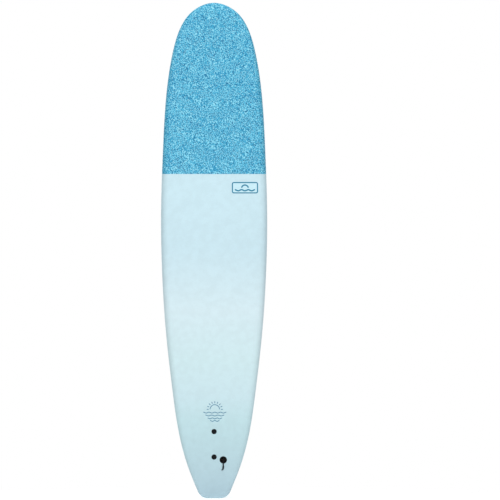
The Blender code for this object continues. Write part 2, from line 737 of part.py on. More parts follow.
def build_string(origin, parts, helpers):
    route = smooth_route([on_deck(p, origin) for p in STRING_ROUTE], 2.2 * STRING_DIAMETER / 2)
    tube("leash_string", route, STRING_DIAMETER, parts, BLACK_CORD)
    mesh = bpy.data.meshes.new("leash_knot")
    work = bmesh.new()
    bmesh.ops.create_uvsphere(work, u_segments=14, v_segments=8, radius=1.0)
    half_x, half_height, half_z = (size * MM for size in KNOT_HALF_SIZE)
    bmesh.ops.transform(work, matrix=Matrix.Diagonal((half_x, half_height, half_z, 1.0)), verts=work.verts)
    work.to_mesh(mesh)
    work.free()
    knot = new_object("leash_knot", mesh, parts, BLACK_CORD)
    knot.location = on_deck(KNOT_CENTRE, origin)
    for k, tail in enumerate(STRING_TAILS):
        path = smooth_route([on_deck(p, origin) for p in tail], 2.5 * STRING_DIAMETER)
        unite(knot, as_cutter(tube_mesh(f"tail_{k}", path, STRING_DIAMETER, helpers, BLACK_CORD)))


# --- Fin -------------------------------------------------------------------------------------------------
# Side view of the blade as (distance towards the nose from the fin's centre, distance out from the board),
# in millimetres: Bezier control points of the leading and the trailing edge, from the root to the tip.
LEADING_EDGE = ((92, 0), (78, 88), (0, 176), (-118, 205))
TRAILING_EDGE = ((-86, 0), (-50, 42), (-42, 118), (-118, 205))
BLADE_SECTIONS = (0.0, 0.08, 0.18, 0.3, 0.43, 0.56, 0.69, 0.8, 0.89, 0.95, 0.985)
FOIL_POINTS = ((0.0, 0.16), (0.06, 0.55), (0.2, 0.92), (0.42, 1.0), (0.7, 0.68), (0.9, 0.3), (1.0, 0.14))


def edge_at(control, out):
    """How far towards the nose a blade edge lies, this far out from the board."""
    t = np.linspace(0, 1, 400)[:, None]
    p = np.array(control, float) * MM
    curve = (1 - t) ** 3 * p[0] + 3 * (1 - t) ** 2 * t * p[1] + 3 * (1 - t) * t * t * p[2] + t**3 * p[3]
    return float(np.interp(out, curve[:, 1], curve[:, 0]))


def blade_sections():
    sections = []
    tip_y = bottom_y(FIN_CENTRE) + FIN_DEPTH
    for share in BLADE_SECTIONS:
        out = share * FIN_DEPTH
        front, back = edge_at(LEADING_EDGE, out), edge_at(TRAILING_EDGE, out)
        half = mix(FIN_ROOT_THICKNESS, FIN_TIP_THICKNESS, share) / 2
        upper = [(mix(front, back, along_chord), half * wide) for along_chord, wide in FOIL_POINTS]
        loop = [*upper, *[(z, -x) for z, x in reversed(upper)]]
        sections.append(
            [
                (x, mix(bottom_y(FIN_CENTRE + z) + 2 * MM, tip_y, share), FIN_CENTRE + z)
                for z, x in loop
            ]
        )
    return sections


def flange_sections():
    """Sections across the base flange, which follows the curve of the bottom."""
    half_length = FLANGE_LENGTH / 2
    from_end = [0.0, 0.15, 0.5, 1.0]
    rows = [-half_length + FLANGE_CORNER * share for share in from_end]
    rows += list(np.linspace(-half_length + 2.5 * FLANGE_CORNER, half_length - 2.5 * FLANGE_CORNER, 9))
    rows += [half_length - FLANGE_CORNER * share for share in reversed(from_end)]
    sections = []
    for row in rows:
        lack = max(FLANGE_CORNER - (half_length - abs(row)), 0.0)
        half = FLANGE_WIDTH / 2 - FLANGE_CORNER + math.sqrt(FLANGE_CORNER**2 - lack**2)
        seat = bottom_y(FIN_CENTRE + row) + GAP
        face, edge = seat + FLANGE_THICKNESS, 1.5 * MM
        loop = [(-half, seat), (half, seat), (half, face - edge), (half - edge, face)]
        loop += [(-half + edge, face), (-half, face - edge)]
        sections.append([(x, y, FIN_CENTRE + row) for x, y in loop])
    return sections


def build_fin(parts, helpers):
    """The fin: flange, blade and two hollow posts as one moulding, and a brass insert in each post."""
    fin = loft("fin", flange_sections(), parts, FIN_PLASTIC)
    unite(fin, as_cutter(loft("fin_blade", blade_sections(), helpers, FIN_PLASTIC)))
    bore_radius, bore_end = INSERT_RADIUS + GAP, POST_HEIGHT - POST_BORE_DEPTH
    insert_top = POST_HEIGHT - 0.5 * MM
    for side, station in SCREW_STATIONS.items():
        at = (0.0, bottom_y(station), station)
        post = turned(
            f"fin_post_{side}",
            [
                (0.0, bore_end),
                (bore_radius, bore_end),
                (bore_radius, POST_HEIGHT),
                (POST_RADIUS, POST_HEIGHT),
                (POST_RADIUS, -3 * MM),
                (0.0, -3 * MM),
            ],
            at, helpers, FIN_PLASTIC,
        )  # fmt: skip
        unite(fin, as_cutter(post))
        turned(
            f"fin_insert_{side}",
            [
                (INSERT_RADIUS, insert_top),
                (INSERT_RADIUS, insert_top - INSERT_LENGTH),
                (INSERT_BORE, insert_top - INSERT_LENGTH),
                (INSERT_BORE, insert_top),
            ],
            at, parts, BRASS,
        )  # fmt: skip


def main():
    clear_scene()
    parts = new_collection("soft_top_longboard")
    helpers = new_collection("cutters")
    layers = build_layers(parts, helpers)
    holes = [build_screw_set(side, z, parts, helpers) for side, z in SCREW_STATIONS.items()]
    plug_hole = build_leash_plug(parts, helpers)
    for name in ("slick_bottom", "bottom_foam", "bottom_laminate"):
        subtract(layers[name], *holes)
    for name in ("deck_skin_main", "deck_laminate", "core_centre"):
        subtract(layers[name], *holes, plug_hole)
    build_fin(parts, helpers)


main()
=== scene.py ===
"""The looks of a soft-top longboard surfboard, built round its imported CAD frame.

The board's skins are rebuilt on a finer copy of the CAD's lofted surface, and its hardware, leash string and
fin as finer pieces. All sizes are in metres in the CAD's frame: +Z to the nose, -Y out of the deck, +Y out of
the bottom, and the origin on the tail's flat end.
"""

import math

import bmesh
import bpy
import numpy as np
from mathutils import Matrix, Vector


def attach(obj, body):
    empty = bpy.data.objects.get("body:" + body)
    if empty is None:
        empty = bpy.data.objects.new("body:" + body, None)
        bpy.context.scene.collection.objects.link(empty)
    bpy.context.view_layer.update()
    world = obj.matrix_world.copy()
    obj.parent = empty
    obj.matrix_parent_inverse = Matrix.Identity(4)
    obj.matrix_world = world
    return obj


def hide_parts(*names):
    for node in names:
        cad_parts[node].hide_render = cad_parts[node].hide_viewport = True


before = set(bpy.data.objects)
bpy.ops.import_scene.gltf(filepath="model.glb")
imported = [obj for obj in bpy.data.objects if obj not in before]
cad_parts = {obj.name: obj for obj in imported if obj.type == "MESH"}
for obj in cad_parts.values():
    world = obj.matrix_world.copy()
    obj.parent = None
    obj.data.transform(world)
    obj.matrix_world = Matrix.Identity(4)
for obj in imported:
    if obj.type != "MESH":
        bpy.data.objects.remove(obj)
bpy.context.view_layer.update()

MM = 0.001
GAP = 0.3 * MM

# --- The board's shape, as in the CAD --------------------------------------------------------------------
LENGTH = 108 * 0.0254
# Stations of the outline: distance from the nose and half width, in millimetres.
OUTLINE_STATIONS = (
    (0, 0), (22, 82), (60, 134), (125, 180), (265, 227), (490, 263), (820, 284), (1180, 294.5),
    (1480, 289), (1815, 268), (2145, 231), (2370, 197.5), (2590, 137),
)  # fmt: skip
TAIL_CORNER_RADIUS, TAIL_FLAT_HALF_WIDTH = 60 * MM, 35 * MM
TAIL_SIDE_ANGLE = math.radians(21.8)
NOSE_ROCKER, NOSE_ROCKER_POWER = 115 * MM, 2.7
TAIL_ROCKER, TAIL_ROCKER_POWER = 50 * MM, 2.3
ROCKER_LOW_POINT = 1.20
THICKNESS_MIDDLE, THICKNESS_NOSE, THICKNESS_TAIL = 82 * MM, 30 * MM, 36 * MM
THICKEST_POINT = 1.45
NOSE_FOIL_POWER, TAIL_FOIL_POWER = 2.6, 2.4
DECK_CROWN_RADIUS = 4.8
RAIL_APEX_SHARE, TAIL_APEX_SHARE = 0.42, 0.50
RAIL_FACE_SHARE, TAIL_FACE_SHARE = 0.08, 0.27
RAIL_WIDTH_TO_HEIGHT = 1.1
TAIL_EDGE_RADIUS = 8 * MM
PATCH_INSET = 44 * MM
WRAP_WIDTH, WRAP_EXTRA_AT_TAIL = 12 * MM, 4.5 * MM
BAND_WIDTH = 10.5 * MM
SEAM_Z = LENGTH - 947 * MM
DECK_SKIN_THICKNESS, SLICK_THICKNESS = 5 * MM, 1.2 * MM

SCREW_STATIONS = {"rear": 228 * MM, "front": 369 * MM}
HEAD_RADIUS, HEAD_HEIGHT, HEAD_SEAT = 14.4 * MM, 3.2 * MM, 0.6 * MM
SHANK_RADIUS, SHANK_LENGTH = 4.0 * MM, 44 * MM
COIN_SLOT = (17 * MM, 2.6 * MM, 1.5 * MM)
WASHER_RADIUS, WASHER_THICKNESS = 12.0 * MM, 1.5 * MM
SLEEVE_RADIUS, SLEEVE_BORE, SLEEVE_FLANGE_RADIUS, SLEEVE_FLANGE = 9.5 * MM, 7.8 * MM, 13.0 * MM, 1.5 * MM
POST_RADIUS, POST_HEIGHT, POST_BORE_DEPTH = 7.4 * MM, 27 * MM, 23 * MM
INSERT_RADIUS, INSERT_BORE, INSERT_LENGTH = 5.5 * MM, 4.3 * MM, 16 * MM
FIN_CENTRE = 287.5 * MM
FLANGE_LENGTH, FLANGE_WIDTH, FLANGE_THICKNESS, FLANGE_CORNER = 236 * MM, 36.5 * MM, 4.5 * MM, 10 * MM
FIN_DEPTH, FIN_ROOT_THICKNESS, FIN_TIP_THICKNESS = 205 * MM, 9 * MM, 4 * MM
PLUG_X, PLUG_Z = 51 * MM, 212 * MM
PLUG_FLANGE_RADIUS, PLUG_FLANGE_SEAT, PLUG_FLANGE_TOP = 20.2 * MM, 1.2 * MM, 1.2 * MM
CUP_RADIUS, CUP_BORE, CUP_FLOOR, CUP_BASE = 15 * MM, 12.5 * MM, 22 * MM, 24.5 * MM
PIN_RADIUS, PIN_HALF_LENGTH, PIN_DEPTH = 2.5 * MM, 13.4 * MM, 9 * MM
# Heights of the washers' and sleeves' levels over the deck at the screw.
WASHER_TOP = -HEAD_SEAT - GAP
SLEEVE_TOP = WASHER_TOP - WASHER_THICKNESS - GAP
SLEEVE_SHOULDER = SLEEVE_TOP - SLEEVE_FLANGE
STRING_DIAMETER = 3.4 * MM

COLUMNS, ROWS = 26, 150  # quads across and along the deck and the bottom
UPPER_STEPS, TURN_STEPS, BAND_STEPS, SLICK_STEPS = 12, 8, 4, 6
ROUND_STEPS = 72


def mix(a, b, share):
    return a + (b - a) * share


def smooth(share):
    share = min(max(share, 0.0), 1.0)
    return share * share * (3 - 2 * share)


def bottom_y(z):
    if z < ROCKER_LOW_POINT:
        lift = TAIL_ROCKER * ((ROCKER_LOW_POINT - z) / ROCKER_LOW_POINT) ** TAIL_ROCKER_POWER
    else:
        lift = NOSE_ROCKER * ((z - ROCKER_LOW_POINT) / (LENGTH - ROCKER_LOW_POINT)) ** NOSE_ROCKER_POWER
    return THICKNESS_TAIL / 2 + TAIL_ROCKER - lift


def thickness(z):
    if z < THICKEST_POINT:
        share, power, end = (THICKEST_POINT - z) / THICKEST_POINT, TAIL_FOIL_POWER, THICKNESS_TAIL
    else:
        share, power, end = (z - THICKEST_POINT) / (LENGTH - THICKEST_POINT), NOSE_FOIL_POWER, THICKNESS_NOSE
    return THICKNESS_MIDDLE - (THICKNESS_MIDDLE - end) * min(share, 1.0) ** power


def deck_y(x, z):
    return bottom_y(z) - thickness(z) + x * x / (2 * DECK_CROWN_RADIUS)


def link(name, data):
    made = bpy.data.objects.new(name, data)
    bpy.context.scene.collection.objects.link(made)
    return made


# --- Camera ----------------------------------------------------------------------------------------------
FRAME_HEIGHT = 2.771  # what the picture takes in at the board's distance
LENS, SENSOR = 600.0, 36.0
CAMERA_ASIDE, CAMERA_HEIGHT = 0.199, 1.375  # right of the board, and over the floor


def make_camera():
    """A long lens that looks straight at the deck, with the board left of the picture's middle."""
    data = bpy.data.cameras.new("camera")
    data.lens, data.sensor_width = LENS, SENSOR
    data.clip_start, data.clip_end = 0.1, 200.0
    camera = link("camera", data)
    camera.location = (CAMERA_ASIDE, -FRAME_HEIGHT * LENS / SENSOR, CAMERA_HEIGHT)
    camera.rotation_euler = (math.pi / 2, 0.0, 0.0)
    bpy.context.scene.camera = camera


make_camera()


# --- Node materials --------------------------------------------------------------------------------------
def srgb(*values):
    """A colour given as 0 to 255 display values, as linear RGB."""
    return tuple(v / 255 / 12.92 if v <= 10 else ((v / 255 + 0.055) / 1.055) ** 2.4 for v in values)


class Graph:
    """A material's nodes, with short calls for the kinds used here."""

    def __init__(self, name, roughness, metallic=0.0, specular=0.5):
        self.material = bpy.data.materials.new(name)
        self.material.use_nodes = True
        self.tree = self.material.node_tree
        self.shader = self.tree.nodes["Principled BSDF"]
        self.set(self.shader, "Roughness", roughness)
        self.set(self.shader, "Metallic", metallic)
        self.set(self.shader, "Specular IOR Level", specular)
        self.place = self.tree.nodes.new("ShaderNodeTexCoord").outputs["Object"]

    def set(self, node, socket, value):
        target = node.inputs[socket]
        if isinstance(value, bpy.types.NodeSocket):
            self.tree.links.new(value, target)
        elif target.type == "RGBA":
            target.default_value = (*value, 1.0)
        else:
            target.default_value = value

    def node(self, kind, settings=(), **sockets):
        made = self.tree.nodes.new(kind)
        for name, value in dict(settings).items():
            setattr(made, name, value)
        for name, value in sockets.items():
            self.set(made, name.replace("_", " "), value)
        return made

    def math(self, operation, *values):
        made = self.node("ShaderNodeMath", {"operation": operation})
        for k, value in enumerate(values):
            self.set(made, k, value)
        return made.outputs[0]

    def grey(self, value):
        return self.node("ShaderNodeCombineColor", Red=value, Green=value, Blue=value).outputs[0]

    def scaled(self, factors):
        made = self.node("ShaderNodeVectorMath", {"operation": "MULTIPLY"})
        self.set(made, 0, self.place)
        self.set(made, 1, factors)
        return made.outputs[0]

    def shifted(self, amount, strength):
        """The place moved about by a colour, for uneven patterns."""
        made = self.node("ShaderNodeVectorMath", {"operation": "MULTIPLY_ADD"})
        self.set(made, 0, amount)
        self.set(made, 1, (strength, strength, strength))
        self.set(made, 2, self.place)
        return made.outputs[0]

    def axis(self, name, vector=None):
        return self.node("ShaderNodeSeparateXYZ", Vector=vector or self.place).outputs[name]

    def noise(self, size, detail=2.0, roughness=0.5, vector=None, output="Fac"):
        """Noise with features about this long, in metres."""
        sockets = {"Vector": vector or self.place, "Scale": 1 / size, "Detail": detail}
        return self.node("ShaderNodeTexNoise", Roughness=roughness, **sockets).outputs[output]

    def cells(self, size, vector=None, feature="F1", output="Distance"):
        sockets = {"Vector": vector or self.place, "Scale": 1 / size}
        return self.node("ShaderNodeTexVoronoi", {"feature": feature}, **sockets).outputs[output]

    def ramp(self, value, *stops):
        made = self.node("ShaderNodeValToRGB", Fac=value)
        elements = made.color_ramp.elements
        for element, (position, colour) in zip(elements, (stops[0], stops[-1]), strict=True):
            element.position, element.color = position, (*colour, 1.0)
        for position, colour in stops[1:-1]:
            elements.new(position).color = (*colour, 1.0)
        return made.outputs["Color"]

    def steps(self, value, low, high, low_out=0.0, high_out=1.0):
        made = self.node("ShaderNodeMapRange", {"interpolation_type": "SMOOTHSTEP"})
        for k, number in enumerate((value, low, high, low_out, high_out)):
            self.set(made, k, number)
        return made.outputs["Result"]

    def blend(self, share, first, second, how="MIX"):
        made = self.node("ShaderNodeMix", {"data_type": "RGBA", "blend_type": how})
        for name, value in (("Factor_Float", share), ("A_Color", first), ("B_Color", second)):
            socket = next(s for s in made.inputs if s.identifier == name)
            if isinstance(value, bpy.types.NodeSocket):
                self.tree.links.new(value, socket)
            else:
                socket.default_value = value if name == "Factor_Float" else (*value, 1.0)
        return next(s for s in made.outputs if s.identifier == "Result_Color")

    def bump(self, height, depth, strength=1.0, normal=None):
        """Relief of this depth in metres, where the height goes from 0 to 1."""
        made = self.node("ShaderNodeBump", Height=height, Distance=depth, Strength=strength)
        if normal is not None:
            self.set(made, "Normal", normal)
        return made.outputs["Normal"]

    def finish(self, colour=None, normal=None, roughness=None):
        for name, value in (("Base Color", colour), ("Normal", normal), ("Roughness", roughness)):
            if value is not None:
                self.set(self.shader, name, value)
        return self.material


def foam_relief(g):
    """The closed cells of a foam skin, about 1 mm across, on very slight waves."""
    cells = g.cells(1.1 * MM, vector=g.shifted(g.noise(3 * MM, output="Color"), 0.8 * MM))
    waves = g.bump(g.noise(60 * MM, detail=1.0), 0.5 * MM, strength=0.5)
    return g.bump(g.steps(cells, 0.1, 0.6, 1.0, 0.0), 0.12 * MM, strength=0.55, normal=waves)


def pale_foam():
    """Pale foam with a faint mottle, and painted shade that darkens its colour a little towards the tail."""
    g = Graph("pale_foam", 0.62, specular=0.35)
    # Painted shade: this ramp along the board darkens the foam's colour towards the tail, as though less
    # light fell there.
    colour = g.ramp(
        g.math("DIVIDE", g.axis("Z"), SEAM_Z),
        (0.02, srgb(161, 187, 198)),
        (0.088, srgb(171, 198, 207)),
        (0.17, srgb(179, 208, 215)),
        (0.242, srgb(187, 217, 223)),
        (0.316, srgb(199, 225, 232)),
        (0.43, srgb(207, 233, 238)),
        (0.58, srgb(216, 238, 245)),
        (0.767, srgb(206, 234, 244)),
        (0.95, srgb(209, 238, 248)),
    )
    mottle = g.steps(g.noise(35 * MM, detail=3.0), 0.3, 0.7, 0.975, 1.02)
    grain = g.steps(g.noise(1.6 * MM, detail=2.0), 0.3, 0.7, 0.965, 1.03)
    return g.finish(
        g.blend(1.0, colour, g.grey(g.math("MULTIPLY", mottle, grain)), "MULTIPLY"), foam_relief(g)
    )


def printed_foam():
    """A fine print of short light and dark strokes on a mid blue, with faint lighter and darker clouds."""
    g = Graph("printed_foam", 0.60, specular=0.35)
    wander = g.shifted(g.noise(16 * MM, output="Color"), 12 * MM)
    strokes = g.noise(5.4 * MM, detail=1.0, vector=wander)
    dark = g.steps(strokes, 0.51, 0.43)
    light = g.steps(g.noise(4.8 * MM, detail=0.0), 0.54, 0.62)
    clouds = g.noise(55 * MM, detail=3.0, roughness=0.6)
    base = g.ramp(
        clouds,
        (0.30, srgb(50, 167, 212)),
        (0.50, srgb(66, 179, 219)),
        (0.72, srgb(90, 195, 230)),
    )
    colour = g.blend(g.math("MULTIPLY", dark, 0.95), base, srgb(2, 112, 160))
    colour = g.blend(g.math("MULTIPLY", light, 0.9), colour, srgb(154, 234, 255))
    return g.finish(colour, foam_relief(g))


def film(name, colour, roughness, peel):
    """A smooth plastic sheet with orange peel, and faint streaks along the board from its rolling."""
    g = Graph(name, roughness, specular=0.5)
    streaks = g.noise(14 * MM, detail=3.0, vector=g.scaled((1.0, 1.0, 0.03)))
    darker = tuple(0.965 * c for c in colour)
    skin = g.blend(g.steps(streaks, 0.35, 0.65), darker, colour)
    relief = g.bump(g.noise(4.5 * MM, detail=2.0), peel, strength=0.4)
    scuffs = g.noise(9 * MM, detail=4.0, roughness=0.7, vector=g.scaled((1.0, 1.0, 0.15)))
    return g.finish(skin, relief, g.steps(scuffs, 0.35, 0.75, roughness - 0.04, roughness + 0.12))


def moulded(name, colour, roughness, grain=0.5 * MM, specular=0.45):
    """Moulded plastic or rubber with a spark-eroded grain."""
    g = Graph(name, roughness, specular=specular)
    grey = tuple(1.35 * c + 0.001 for c in colour)
    skin = g.blend(g.steps(g.noise(6 * MM, detail=4.0), 0.4, 0.75), colour, grey)
    relief = g.bump(g.noise(grain, detail=3.0), 0.04 * MM, strength=0.6)
    rough = g.steps(g.noise(3 * MM, detail=3.0), 0.3, 0.7, roughness - 0.05, roughness + 0.08)
    return g.finish(skin, relief, rough)


def fin_composite():
    """Glass-filled plastic: almost black, with short pale fibres just under the surface."""
    g = Graph("fin_composite", 0.36, specular=0.5)
    stretched = g.scaled((1.0, 1.0, 0.35))
    fibres = g.steps(g.noise(1.4 * MM, detail=2.0, vector=stretched), 0.62, 0.78)
    skin = g.blend(fibres, srgb(34, 31, 30), srgb(62, 60, 60))
    relief = g.bump(g.noise(0.9 * MM, detail=2.0), 0.03 * MM, strength=0.5)
    rough = g.steps(g.noise(12 * MM, detail=4.0), 0.35, 0.7, 0.30, 0.46)
    return g.finish(skin, relief, rough)


def metal(name, colour, roughness, brushed_along):
    g = Graph(name, roughness, metallic=1.0)
    factors = [1.0, 1.0, 1.0]
    factors["XYZ".index(brushed_along)] = 0.05
    lines = g.noise(0.35 * MM, detail=3.0, vector=g.scaled(tuple(factors)))
    skin = g.blend(lines, tuple(0.82 * c for c in colour), colour)
    rough = g.steps(lines, 0.3, 0.7, roughness - 0.06, roughness + 0.1)
    return g.finish(skin, g.bump(lines, 0.02 * MM, strength=0.5), rough)


def braided_cord():
    g = Graph("braided_cord", 0.82, specular=0.12)
    fuzz = g.noise(0.5 * MM, detail=4.0)
    skin = g.blend(g.steps(fuzz, 0.35, 0.7), srgb(6, 8, 12), srgb(26, 29, 35))
    g.set(g.shader, "Sheen Weight", 0.1)
    g.set(g.shader, "Sheen Roughness", 0.5)
    return g.finish(skin, g.bump(fuzz, 0.08 * MM, strength=0.7))


def bead_foam(name, colour, bead):
    """Moulded bead foam: packed rounded cells with thin darker joints."""
    g = Graph(name, 0.85, specular=0.25)
    edge = g.cells(bead, feature="DISTANCE_TO_EDGE")
    joint = g.steps(edge, 0.02, 0.12, 1.0, 0.0)
    tone = g.steps(g.axis("X", g.cells(bead, output="Color")), 0.0, 1.0, 0.94, 1.0)
    skin = g.blend(1.0, colour, g.grey(tone), "MULTIPLY")
    skin = g.blend(g.math("MULTIPLY", joint, 0.35), skin, tuple(0.7 * c for c in colour))
    return g.finish(skin, g.bump(edge, 0.3 * MM, strength=0.5))


def stringer_ply():
    g = Graph("stringer_ply", 0.62, specular=0.3)
    stretched = g.scaled((6.0, 1.0, 0.05))
    figure = g.noise(9 * MM, detail=4.0, roughness=0.6, vector=stretched)
    skin = g.ramp(
        figure, (0.3, srgb(176, 136, 92)), (0.5, srgb(206, 168, 120)), (0.75, srgb(224, 190, 146))
    )
    return g.finish(skin, g.bump(figure, 0.1 * MM, strength=0.4))


def woven_laminate():
    """Thin glass cloth wetted with resin, with its plain weave showing."""
    g = Graph("woven_laminate", 0.35, specular=0.5)
    across = g.math("SINE", g.math("MULTIPLY", g.axis("X"), 2 * math.pi / (1.8 * MM)))
    along = g.math("SINE", g.math("MULTIPLY", g.axis("Z"), 2 * math.pi / (1.8 * MM)))
    weave = g.steps(g.math("MULTIPLY", across, along), -0.8, 0.8)
    skin = g.blend(weave, srgb(206, 212, 204), srgb(224, 228, 222))
    return g.finish(skin, g.bump(weave, 0.06 * MM, strength=0.5))


def print_ink(name, colour):
    g = Graph(name, 0.55, specular=0.35)
    worn = g.steps(g.noise(2.2 * MM, detail=4.0), 0.25, 0.45, 0.0, 1.0)
    pale = tuple(mix(c, 0.8, 0.08) for c in colour)
    return g.finish(g.blend(worn, pale, colour), g.bump(g.noise(1.1 * MM), 0.05 * MM, strength=0.4))


PALE_FOAM, PRINTED_FOAM = pale_foam(), printed_foam()
SLICK = film("slick_sheet", srgb(152, 218, 235), 0.26, 0.10 * MM)
WHITE_BAND = film("white_band", srgb(236, 250, 255), 0.34, 0.06 * MM)
BLACK_PLASTIC = moulded("black_plastic", srgb(5, 8, 11), 0.45, specular=0.13)
BLACK_RUBBER = moulded("black_rubber", srgb(14, 14, 14), 0.75, grain=0.9 * MM)
FIN_COMPOSITE = fin_composite()
STAINLESS = metal("stainless", (0.060, 0.040, 0.036), 0.38, "X")
BRASS = metal("brass", (0.71, 0.53, 0.22), 0.32, "Y")
CORD = braided_cord()
CORE = bead_foam("core_foam", srgb(246, 246, 242), 4.5 * MM)
BACKING = bead_foam("backing_foam", srgb(238, 240, 240), 1.6 * MM)
PLY, LAMINATE = stringer_ply(), woven_laminate()
TEAL_INK = print_ink("teal_ink", srgb(6, 128, 164))
GREY_INK = print_ink("grey_ink", srgb(78, 132, 162))
PALE_INK = print_ink("pale_ink", srgb(206, 242, 253))


# --- Making pieces ---------------------------------------------------------------------------------------
def new_piece(piece, look, body, *nodes, slot=None):
    """Gives an object its look and the body it rides on, and lets it stand for any CAD nodes named."""
    piece.data.name = piece.name
    piece.data.materials.clear()
    piece.data.materials.append(look)
    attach(piece, body)
    if nodes:
        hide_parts(*nodes)
    return piece


def shade(mesh, sharp_degrees=32):
    mesh.shade_smooth()
    mesh.set_sharp_from_angle(angle=math.radians(sharp_degrees))


def mesh_of(name, vertices, faces, sharp_degrees=32):
    """A smooth-shaded mesh of just the vertices that the faces use."""
    used = sorted({v for face in faces for v in face})
    place = {v: i for i, v in enumerate(used)}
    mesh = bpy.data.meshes.new(name)
    mesh.from_pydata([tuple(vertices[v]) for v in used], [], [tuple(place[v] for v in f) for f in faces])
    mesh.update()
    shade(mesh, sharp_degrees)
    return mesh


def face_outwards(mesh):
    work = bmesh.new()
    work.from_mesh(mesh)
    bmesh.ops.recalc_face_normals(work, faces=work.faces)
    work.to_mesh(mesh)
    work.free()
    return mesh


def sheet_faces(skin, count):
    """A closed sheet's faces: its skin, the same reversed this many vertices on, and the strip between."""
    edges = {(a, b) for face in skin for a, b in zip(face, face[1:] + face[:1], strict=True)}
    border = sorted((a, b) for a, b in edges if (b, a) not in edges)
    inner = [tuple(v + count for v in reversed(face)) for face in skin]
    return [*skin, *inner, *((b, a, a + count, b + count) for a, b in border)]


def ring_quads(first, second, count):
    """Quads between two rings of this many vertices, which start at these indices."""
    return [
        (first + k, second + k, second + (k + 1) % count, first + (k + 1) % count) for k in range(count)
    ]


def combine(obj, others, operation):
    """Cuts the others from the object, or joins them to it."""
    for other in others:
        modifier = obj.modifiers.new(other.name, "BOOLEAN")
        modifier.operation, modifier.object = operation, other
    graph = bpy.context.evaluated_depsgraph_get()
    old, obj.data = obj.data, bpy.data.meshes.new_from_object(obj.evaluated_get(graph))
    obj.modifiers.clear()
    bpy.data.meshes.remove(old)
    shade(obj.data)


def remove(objects):
    for obj in objects:
        bpy.data.objects.remove(obj, do_unlink=True)


def rounded(profile, radius, steps=5):
    """A turned piece's profile with its corners rounded, where their sides are long enough."""
    made = []
    ahead = [*profile[1:], profile[0]]
    for before, corner, after in zip([profile[-1], *profile[:-1]], profile, ahead, strict=True):
        here = Vector(corner)
        back, on = Vector(before) - here, Vector(after) - here
        if corner[0] == 0.0 or back.length == 0 or on.length == 0:
            made.append(corner)
            continue
        reach = min(radius, 0.45 * back.length, 0.45 * on.length)
        start, end = here + back.normalized() * reach, here + on.normalized() * reach
        for t in (k / steps for k in range(steps + 1)):
            point = start * (1 - t) ** 2 + here * 2 * t * (1 - t) + end * t**2
            made.append((point.x, point.y))
    return made


def tube_profile(radius, bore, top, base):
    return [(radius, top), (radius, base), (bore, base), (bore, top)]


def turned(name, profile, at, edge=0.25 * MM, steps=ROUND_STEPS):
    """A closed turned body on an axis along Y. The profile is (radius, height), with height towards -Y.

    It is closed round a ring if no point is on the axis.
    """
    ring = all(radius > 0 for radius, _ in profile)
    profile = rounded(profile, edge) if edge else profile
    vertices, index = [], []
    for radius, height in profile:
        if radius == 0.0:
            index.append([len(vertices)] * steps)
            vertices.append((at[0], at[1] - height, at[2]))
            continue
        index.append(list(range(len(vertices), len(vertices) + steps)))
        for a in (2 * math.pi * k / steps for k in range(steps)):
            vertices.append((at[0] + radius * math.cos(a), at[1] - height, at[2] + radius * math.sin(a)))
    faces = []
    for first, second in zip(index, [*index[1:], index[0]] if ring else index[1:], strict=False):
        for k in range(steps):
            n = (k + 1) % steps
            face = tuple(dict.fromkeys((first[k], first[n], second[n], second[k])))
            if len(face) > 2:
                faces.append(face)
    return link(name, face_outwards(mesh_of(name, vertices, faces)))


def loft(name, sections, sharp_degrees=32):
    """A closed body through sections, which are loops of the same number of points, with flat end caps."""
    count = len(sections[0])
    vertices = [point for section in sections for point in section]
    faces = [tuple(range(count)), tuple(reversed(range(len(vertices) - count, len(vertices))))]
    for first in range(0, len(vertices) - count, count):
        faces += ring_quads(first, first + count, count)
    return link(name, face_outwards(mesh_of(name, vertices, faces, sharp_degrees)))


# --- Leash string and knot -------------------------------------------------------------------------------
# The string's route from inside the knot, in over the rim, under the pin, over it and back out to the knot.
# Each point is (x, height over the deck, z) in millimetres from the middle of the plug.
STRING_ROUTE = (
    (-1.0, 3.9, -38.4), (-1.9, 2.5, -35.0), (-1.8, 2.7, -30.0), (-1.9, 3.5, -24.0), (-2.1, 3.9, -18.5),
    (-2.1, 2.7, -12.6), (-2.1, -1.6, -8.6), (-2.1, -7.0, -7.2), (-2.0, -12.6, -5.6), (-1.2, -16.0, -0.6),
    (0.6, -14.2, 5.2), (1.6, -8.8, 7.4), (2.0, -3.2, 5.8), (2.1, 0.9, 1.0), (2.1, 2.9, -5.4),
    (2.1, 4.0, -12.0), (2.1, 4.0, -18.5), (1.9, 3.5, -24.0), (1.8, 2.7, -30.0), (1.9, 2.5, -35.0),
    (1.4, 3.9, -38.4),
)  # fmt: skip
KNOT_CENTRE = (0.2, 4.4, -39.6)
KNOT_HALF_SIZE = (6.2, 3.6, 4.3)
STRING_TAILS = (
    ((-1.5, 3.6, -41.0), (-3.6, 2.8, -47.0), (-6.4, 2.7, -52.6), (-8.4, 2.7, -58.0)),
    ((1.6, 3.6, -41.0), (1.4, 2.9, -47.5), (-0.8, 2.7, -53.0), (-3.6, 2.7, -57.6)),
)
BRAID_STRANDS, BRAID_PITCH, BRAID_RELIEF = 8, 7.0 * MM, 0.085
AROUND_CORD, KNOT_STEPS, ROUTE_SPACING = 24, 150, 0.45 * MM


def on_deck(point):
    x, height, z = point
    return (PLUG_X + x * MM, deck_y(PLUG_X, PLUG_Z) - height * MM, PLUG_Z + z * MM)


